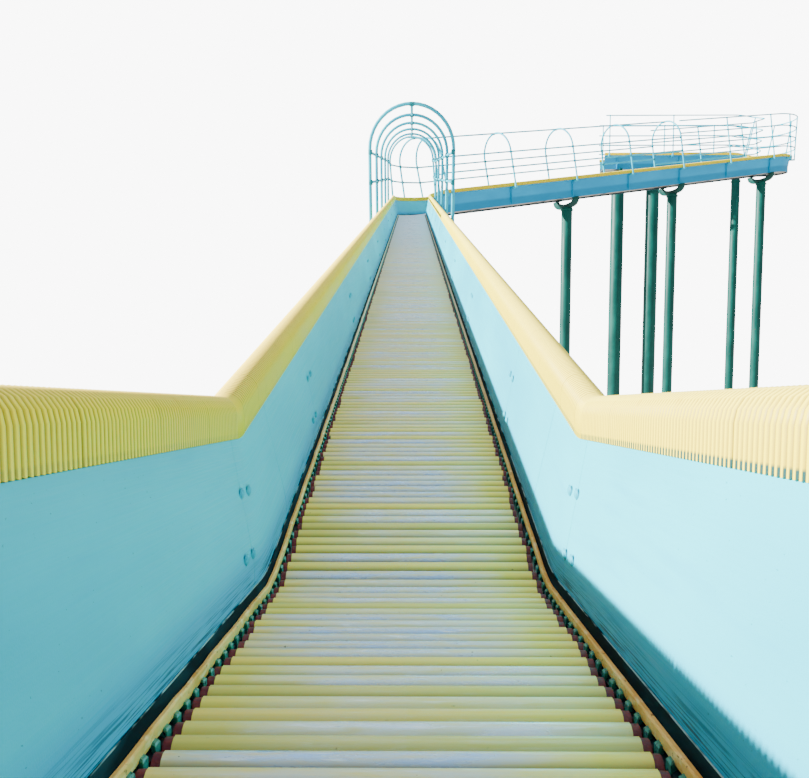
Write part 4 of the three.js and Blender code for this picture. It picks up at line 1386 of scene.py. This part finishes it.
class SLIDE_OT_guards(bpy.types.Operator):
    """Model the ribbed edge guards in butted lengths"""

    bl_idname = "slide.guards"
    bl_label = "Edge guards"

    def execute(self, context):
        runs = {
            "lower": (0.0, LONG_RUN_END),
            "upper": (LONG_RUN_END, UPPER_RUN_END),
            "start": (UPPER_RUN_END, WALKWAY_END),
        }
        rib = context.scene.slide_sizes.guard_rib
        for name, (start, end) in runs.items():
            first = FIRST_GUARD_JOINT if name == "lower" else 0.0
            lengths = round((end - start - first) / GUARD_LENGTH)
            step = (end - start - first) / lengths
            for hand, sign in HANDS.items():
                guard = self.length(step - GUARD_BUTT_GAP, rib, sign)
                guard.location.y = start + first + GUARD_BUTT_GAP / 2
                settle(guard)
                repeat(guard, lengths, step)
                if first:
                    guard = join([guard, self.length(first - GUARD_BUTT_GAP / 2, rib, sign)])
                lay_on_route(guard)
                node = f"{name}_guard_{hand}"
                finish_piece(guard, f"{node}_ribs", [node], "guard",
                             smooth=RIB_SMOOTH_ANGLE)
        return {"FINISHED"}

    def length(self, length, rib, sign):
        """One moulded length of guard, closed at both ends."""
        count = round(length / rib)
        step = length / count
        outline = for_hand(guard_outline(), sign)
        middle = (sign * (GUARD_INNER + GUARD_OUTER) / 2, 0, (GUARD_FOOT + GUARD_SHOULDER) / 2)
        _, size, _ = RIB_RINGS[0]
        deselect()
        bpy.ops.mesh.primitive_circle_add(vertices=len(outline), fill_type="NOTHING")
        piece = bpy.context.object
        for vertex, (x, z) in zip(piece.data.vertices, outline):
            vertex.co = (middle[0] + (x - middle[0]) * size, 0, middle[2] + (z - middle[2]) * size)
        enter_edit("EDGE")
        for (here, before, _), (there, after, _) in zip(RIB_RINGS, RIB_RINGS[1:]):
            push_out(0, (there - here) * step, 0)
            scale = after / before
            bpy.ops.transform.resize(value=(scale, 1, scale), center_override=middle)
        bpy.ops.object.mode_set(mode="OBJECT")
        self.mark_grooves(piece, step)
        repeat(piece, count, step, merge=True)
        enter_edit("EDGE")
        bpy.ops.mesh.fill_holes(sides=0)
        leave_edit()
        return piece

    def mark_grooves(self, piece, step):
        """Keep how deep in the groove each ring of a rib lies, for the painted shade in the
        grooves.
        """
        groove = piece.data.attributes.new("groove", "FLOAT", "POINT")
        along = read_points(piece)[:, 1] / step
        shares = [ring[0] for ring in RIB_RINGS]
        depths = [ring[2] for ring in RIB_RINGS]
        groove.data.foreach_set("value", np.interp(along, shares, depths).astype(np.float32))


class SLIDE_OT_hoops(bpy.types.Operator):
    """Model the hoops with their brackets, clamps and rails"""

    bl_idname = "slide.hoops"
    bl_label = "Hoops"

    def execute(self, context):
        sizes = context.scene.slide_sizes
        groups = {
            "tunnel": (
                TUNNEL_HOOPS, TUNNEL_HOOPS[0],
                ["tunnel_side_left", "tunnel_side_right", "tunnel_crown"],
            ),
            "bend": (BEND_HOOPS, TUNNEL_HOOPS[-1], ["bend_cage"]),
            "upper": (
                UPPER_HOOPS, BEND_HOOPS[-1],
                ["upper_cage_left", "upper_cage_right", "upper_cage_crown"],
            ),
        }
        for name, (hoops, start, nodes) in groups.items():
            pieces = [self.hoops(hoops, sizes.hoop_pipe), brackets(hoops, (-1, 1))]
            rails = pipes(self.rail_places(), start, hoops[-1], sizes.rail_pipe, PIPE_ARC_STEP)
            cage = join([*pieces, *rails])
            finish_piece(cage, f"{name}_hoops", nodes, "hoop")
            self.clamps(name, hoops)
        return {"FINISHED"}

    def rail_places(self):
        """Cross-section places of the rails along the hoops."""
        sides = [(sign * HOOP_HALF_WIDTH, z) for sign in (-1, 1) for z in SIDE_RAIL_HEIGHTS]
        return [*sides, (0, HOOP_CROWN)]

    def hoops(self, places, radius):
        """One hoop of bent pipe, spun over the trough, then copied to each place."""
        leg = HOOP_SPRINGING - HOOP_FOOT - PIPE_LIFT
        deselect()
        bpy.ops.mesh.primitive_circle_add(
            vertices=HOOP_SIDES, radius=radius, fill_type="NGON",
            location=(HOOP_HALF_WIDTH, 0, HOOP_FOOT + PIPE_LIFT),
        )
        hoop = settle(bpy.context.object)
        enter_edit()
        push_out(0, 0, leg)
        bpy.ops.mesh.spin(
            steps=HOOP_STEPS, angle=math.pi, center=(0, 0, HOOP_SPRINGING), axis=(0, 1, 0)
        )
        push_out(0, 0, -leg)
        leave_edit()
        return along_route(hoop, places)

    def clamps(self, name, hoops):
        """Cast clamps where the rails cross the hoops."""
        radius, half = HOOP_CLAMP
        clamp = rod(radius, (0, 0, -half), (0, 0, half), 12)
        bevel(clamp, 0.004)
        x = HOOP_HALF_WIDTH - CLAMP_INSET
        places = []
        for hoop in hoops:
            places.extend((sign * x, hoop, z) for sign in (-1, 1) for z in SIDE_RAIL_HEIGHTS)
        clamps = copies(clamp, places)
        height = HOOP_CROWN - CLAMP_INSET
        crown = rod(radius, (-half, 0, height), (half, 0, height), 12)
        bevel(crown, 0.004)
        crowns = copies(crown, [(0, hoop, 0) for hoop in hoops])
        clamps = join([clamps, crowns])
        lay_on_route(clamps, hoops)
        finish_piece(clamps, f"{name}_clamps", [], "clamp")


def brackets(places, hands):
    """Welded brackets from the wall to the hoops' feet."""
    outline = [
        (BRACKET_INNER_FOOT, HOOP_FOOT),
        (BRACKET_REACH, HOOP_FOOT),
        (BRACKET_REACH, BRACKET_TOP),
        (BRACKET_INNER_TOP, BRACKET_TOP),
    ]
    made = []
    for sign in hands:
        shape = for_hand(outline, sign)
        bracket = extruded(shape, [-BRACKET_HALF_LENGTH, BRACKET_HALF_LENGTH])
        bevel(bracket, 0.003)
        made.append(bracket)
    return along_route(join(made), places)


class SLIDE_OT_railings(bpy.types.Operator):
    """Model the railings of the upper end, the turn and the walkway"""

    bl_idname = "slide.railings"
    bl_label = "Railings"

    def execute(self, context):
        sizes = context.scene.slide_sizes
        start = UPPER_HOOPS[-1]
        inner_posts = [*RUN_POSTS, TURN_POSTS[0], TURN_POSTS[-1], *WALKWAY_POSTS[1:]]
        railings = {
            "outer_run": (start, UPPER_RUN_END, RUN_POSTS, 1),
            "outer_turn": (UPPER_RUN_END, U_TURN_END, TURN_POSTS, 1),
            "outer_walkway": (U_TURN_END, WALKWAY_END, WALKWAY_POSTS, 1),
            "inner": (start, WALKWAY_END, inner_posts, -1),
        }
        for name, (first, last, posts, hand) in railings.items():
            pieces = [self.posts(posts, hand, sizes.hoop_pipe), brackets(posts, (hand,))]
            places = [(hand * HOOP_HALF_WIDTH, height) for height in RAILING_HEIGHTS]
            railing = join([*pieces, *pipes(places, first, last, sizes.rail_pipe)])
            node = f"{name}_railing"
            finish_piece(railing, f"{node}_pipes", [node], "hoop")
            self.clamps(name, posts, hand)
        return {"FINISHED"}

    def posts(self, places, hand, radius):
        """Upright pipes with domed tops."""
        x = hand * HOOP_HALF_WIDTH
        foot = (x, 0, HOOP_FOOT + PIPE_LIFT)
        post = rod(radius * POST_SHARE, foot, (x, 0, RAILING_TOP), HOOP_SIDES)
        edit_faces(post, lambda face: face.normal.z > SQUARELY)
        bpy.ops.mesh.bevel(offset=POST_ROUNDING, segments=3)
        leave_edit()
        return along_route(post, places)

    def clamps(self, name, posts, hand):
        """Clamps where the rails cross the posts."""
        radius, half = RAILING_CLAMP
        clamp = rod(radius, (0, 0, -half), (0, 0, half), RAIL_SIDES)
        bevel(clamp, 0.003, 1)
        x = hand * (HOOP_HALF_WIDTH - CLAMP_INSET)
        clamps = copies(clamp, [(x, post, z) for post in posts for z in RAILING_HEIGHTS[:-1]])
        lay_on_route(clamps, posts)
        finish_piece(clamps, f"{name}_railing_clamps", [], "clamp")


class SLIDE_OT_walkway_deck(bpy.types.Operator):
    """Model the tread plate of the walkway"""

    bl_idname = "slide.walkway_deck"
    bl_label = "Walkway deck"

    def execute(self, context):
        start, end, _ = LEGS["walkway"]
        half = RAIL_INNER - DECK_SIDE_GAP
        edge = DECK_TOP - DECK_CHAMFER
        flat = half - DECK_CHAMFER
        outline = [
            (-half, DECK_BOTTOM), (half, DECK_BOTTOM), (half, edge),
            (flat, DECK_TOP), (-flat, DECK_TOP), (-half, edge),
        ]
        middle = (start + end) / 2
        plates = []
        for first, last in ((start, middle - DECK_HALF_JOINT), (middle + DECK_HALF_JOINT, end)):
            plates.append(extruded(outline, stations(first + DECK_END_GAP, last - DECK_END_GAP)))
        deck = join(plates)
        lay_on_route(deck)
        finish_piece(deck, "tread_plates", ["walkway_deck"], "deck")
        return {"FINISHED"}


def anchor_bolt(top, rods, sunk, rounding):
    """An anchor bolt on top of a plate: its washer, its nut and the end of its thread."""
    made = []
    for radius, height, sides in rods:
        foot = top if made else top - sunk
        made.append(rod(radius, (0, 0, foot), (0, 0, top + height), sides))
    bevel(made[1], rounding, 1)
    return join(made)


class SLIDE_OT_columns(bpy.types.Operator):
    """Model the columns with their yokes, collars, base plates and bolts"""

    bl_idname = "slide.columns"
    bl_label = "Columns"

    def execute(self, context):
        for name, (distance, radius) in COLUMNS.items():
            self.column(name, distance, radius)
        return {"FINISHED"}

    def column(self, name, distance, radius):
        """One column on its base plate, under its yoke."""
        head = on_route(distance, 0, YOKE_FOOT + YOKE_LAP)
        shaft = rod(radius, (head.x, head.y, COLUMN_FOOT), head, COLUMN_SIDES)
        bevel(shaft, 0.004)
        plain = [shaft, self.collar(head, radius), self.base(head, radius)]
        for piece in plain:
            paint_faces(piece, ("column",))
        column = join([self.yoke(distance, radius), *plain])
        finish_piece(column, f"{name}_pipe", [name])
        self.anchors(name, head, radius)

    def yoke(self, distance, radius):
        """A cradle cut from thick plate, with a lens-shaped opening."""
        top = RAIL_BOTTOM - CONTACT_GAP - self.twist_drop(distance)
        foot = radius + YOKE_FOOT_MARGIN
        bowl = []
        for angle in np.linspace(0, math.pi / 2, 9):
            x = foot + (YOKE_HALF_WIDTH - foot) * math.sin(angle)
            bowl.append((x, YOKE_FOOT + (YOKE_SHOULDER - YOKE_FOOT) * (1 - math.cos(angle))))
        outline = [*bowl, (YOKE_HALF_WIDTH, top), (-YOKE_HALF_WIDTH, top), *mirrored(bowl)]
        half = YOKE_THICKNESS / 2
        yoke = extruded(outline, [-half, half])
        arm = YOKE_HALF_WIDTH - YOKE_ARM
        lens = []
        for angle in np.linspace(0, math.pi, 15):
            lens.append((arm * math.cos(angle), YOKE_LENS_TOP - YOKE_LENS_DEPTH * math.sin(angle)))
        cutter = extruded(lens, [-0.2, 0.2])
        apply_modifier(yoke, "BOOLEAN", operation="DIFFERENCE", object=cutter, solver="EXACT")
        bpy.data.objects.remove(cutter)
        bevel(yoke, 0.004)
        paint_faces(yoke, ("column", "yoke"), lambda face: True)
        yoke.location.y = distance
        settle(yoke)
        lay_on_route(yoke, [distance])
        return yoke

    def twist_drop(self, distance):
        """How far a yoke under a bend drops to clear its twisted underside."""
        for start, end, curvature in LEGS.values():
            if curvature and start <= distance <= end:
                reach = RAIL_OUTER + WALL_THICKNESS
                _, slope = climb(np.array([distance]))
                return YOKE_THICKNESS / 2 * slope[0] * reach / (1 / abs(curvature) - reach)
        return 0.0

    def collar(self, head, radius):
        """A welded ring below the yoke."""
        low, high = [(head.x, head.y, head.z - drop) for drop in COLLAR_DROPS]
        ring = rod(radius + COLLAR_REACH, low, high, COLUMN_SIDES)
        bevel(ring, 0.004)
        return ring

    def base(self, head, radius):
        """A base plate with four gussets."""
        half = radius + BASE_PLATE_MARGIN
        plate = block(
            (head.x - half, head.y - half, 0), (head.x + half, head.y + half, BASE_PLATE_THICKNESS)
        )
        bevel(plate, 0.006)
        reach = half - GUSSET_MARGIN
        inner = radius - GUSSET_LAP
        foot = BASE_PLATE_THICKNESS - 0.001
        outline = [
            (inner, foot), (reach, foot), (reach, foot + GUSSET_EDGE),
            (radius + GUSSET_TOP, GUSSET_HEIGHT), (inner, GUSSET_HEIGHT),
        ]
        gussets = []
        for i in range(4):
            gusset = extruded(outline, [-GUSSET_HALF, GUSSET_HALF])
            gusset.data.transform(Matrix.Rotation(math.pi / 4 + i * math.pi / 2, 4, "Z"))
            gusset.location = (head.x, head.y, 0)
            gussets.append(settle(gusset))
        return join([plate, *gussets])

    def anchors(self, name, head, radius):
        """Anchor bolts with nuts and washers, two along each edge of the base plate."""
        bolt = anchor_bolt(BASE_PLATE_THICKNESS, *COLUMN_ANCHOR)
        half = radius + BASE_PLATE_MARGIN - ANCHOR_MARGIN
        corners = [(x, y) for x in (-half, half) for y in (-half, half)]
        middles = [(half, 0), (-half, 0), (0, half), (0, -half)]
        bolts = copies(bolt, [(head.x + x, head.y + y, 0) for x, y in corners + middles])
        finish_piece(bolts, f"{name}_anchors", [], "zinc")


class SLIDE_OT_stand(bpy.types.Operator):
    """Model the stand under the exit"""

    bl_idname = "slide.stand"
    bl_label = "Exit stand"

    def execute(self, context):
        low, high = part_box("run_out_stand")
        top = EXIT_HEIGHT + RAIL_BOTTOM - CONTACT_GAP
        middle = (RAIL_INNER + RAIL_OUTER) / 2
        pieces = []
        for x in (-middle, middle):
            start, end = BEARER_ENDS
            half, height = BEARER_SIZE
            bearer = block((x - half, start, top - height), (x + half, end, top))
            bevel(bearer, 0.003)
            pieces.append(bearer)
            half, depth = STAND_POST
            for y in STAND_POSTS:
                foot = (x - half, y - depth, STAND_POST_LAP)
                post = block(foot, (x + half, y + depth, top - STAND_POST_LAP))
                bevel(post, 0.004)
                pieces.append(post)
        half, thickness = STAND_FOOT
        for y in STAND_POSTS:
            foot = block((low.x, y - half, 0), (high.x, y + half, thickness))
            bevel(foot, 0.003)
            pieces.append(foot)
        stand = join(pieces)
        finish_piece(stand, "exit_stand", ["run_out_stand"], "column")
        places = []
        for x in STAND_BOLT_PLACES:
            places.extend((x, y + shift, 0) for y in STAND_POSTS for shift in STAND_BOLT_SHIFTS)
        bolts = copies(anchor_bolt(STAND_FOOT[1], *STAND_ANCHOR), places)
        finish_piece(bolts, "stand_anchors", [], "zinc")
        return {"FINISHED"}


class SLIDE_OT_stage(bpy.types.Operator):
    """Set the floor, the lights and the camera"""

    bl_idname = "slide.stage"
    bl_label = "Stage"

    def execute(self, context):
        self.camera(context)
        self.floor()
        self.lights(context)
        return {"FINISHED"}

    def camera(self, context):
        """The photograph's viewpoint at the foot of the slide."""
        bpy.ops.object.camera_add(location=CAMERA_PLACE)
        camera = bpy.context.object
        camera.rotation_euler = (math.pi / 2 + CAMERA_PITCH, 0, CAMERA_YAW)
        camera.data.sensor_width = 36
        camera.data.lens = CAMERA_LENS
        camera.data.shift_y = CAMERA_SHIFT_Y
        camera.data.clip_end = 500
        context.scene.camera = camera

    def floor(self):
        """A wide pale floor."""
        deselect()
        bpy.ops.mesh.primitive_plane_add(size=FLOOR_SIZE, location=FLOOR_MIDDLE)
        floor = settle(bpy.context.object)
        floor.name = "studio_floor"
        floor.data.materials.append(finish("floor"))

    def lights(self, context):
        """A bright even sky, seen white, and a soft low key from the left."""
        world = bpy.data.worlds.new("Bright even sky")
        world.use_nodes = True
        tree = world.node_tree
        tree.nodes.clear()
        light = {"Color": colour("#EDF4FC"), "Strength": SKY_LIGHT}
        seen = {"Color": colour("#FFFFFF"), "Strength": SKY_SEEN}
        skies = [add_node(tree, "Background", sky) for sky in (light, seen)]
        path = add_node(tree, "LightPath").outputs["Is Camera Ray"]
        both = add_node(tree, "MixShader", {0: path, 1: skies[0], 2: skies[1]})
        add_node(tree, "OutputWorld", {"Surface": both})
        context.scene.world = world
        bpy.ops.object.light_add(type="SUN", location=(-12, -6, 8))
        key = bpy.context.object
        key.name = "soft_key"
        key.rotation_euler = Vector(KEY_FROM).to_track_quat("Z", "Y").to_euler()
        key.data.energy = KEY_LIGHT
        key.data.angle = KEY_ANGLE
        key.data.color = KEY_TINT


PIECES = (
    SLIDE_OT_stage,
    SLIDE_OT_rollers,
    SLIDE_OT_side_rails,
    SLIDE_OT_edge_strips,
    SLIDE_OT_walls,
    SLIDE_OT_guards,
    SLIDE_OT_hoops,
    SLIDE_OT_railings,
    SLIDE_OT_walkway_deck,
    SLIDE_OT_columns,
    SLIDE_OT_stand,
)


class SLIDE_PT_panel(bpy.types.Panel):
    """Pieces of the slide, their sizes and their colours"""

    bl_idname = "SLIDE_PT_panel"
    bl_label = "Park roller slide"
    bl_space_type = "VIEW_3D"
    bl_region_type = "UI"
    bl_category = "Slide"

    def draw(self, context):
        """Lay out the settings and a button for each group of pieces."""
        for group in (context.scene.slide_sizes, context.scene.slide_colours):
            for name in group.__annotations__:
                self.layout.prop(group, name)
        for piece in PIECES:
            self.layout.operator(piece.bl_idname)


CLASSES = (SlideSizes, SlideColours, *PIECES, SLIDE_PT_panel)


def register():
    """Make the classes and settings known."""
    for item in CLASSES:
        bpy.utils.register_class(item)
    bpy.types.Scene.slide_sizes = bpy.props.PointerProperty(type=SlideSizes)
    bpy.types.Scene.slide_colours = bpy.props.PointerProperty(type=SlideColours)


def unregister():
    """Forget them again."""
    del bpy.types.Scene.slide_colours
    del bpy.types.Scene.slide_sizes
    for item in reversed(CLASSES):
        bpy.utils.unregister_class(item)


def main():
    """Build the whole slide."""
    register()
    bpy.ops.slide.stage()
    bpy.ops.slide.rollers()
    bpy.ops.slide.side_rails()
    bpy.ops.slide.edge_strips()
    bpy.ops.slide.walls()
    bpy.ops.slide.guards()
    bpy.ops.slide.hoops()
    bpy.ops.slide.railings()
    bpy.ops.slide.walkway_deck()
    bpy.ops.slide.columns()
    bpy.ops.slide.stand()


if __name__ == "__main__":
    main()
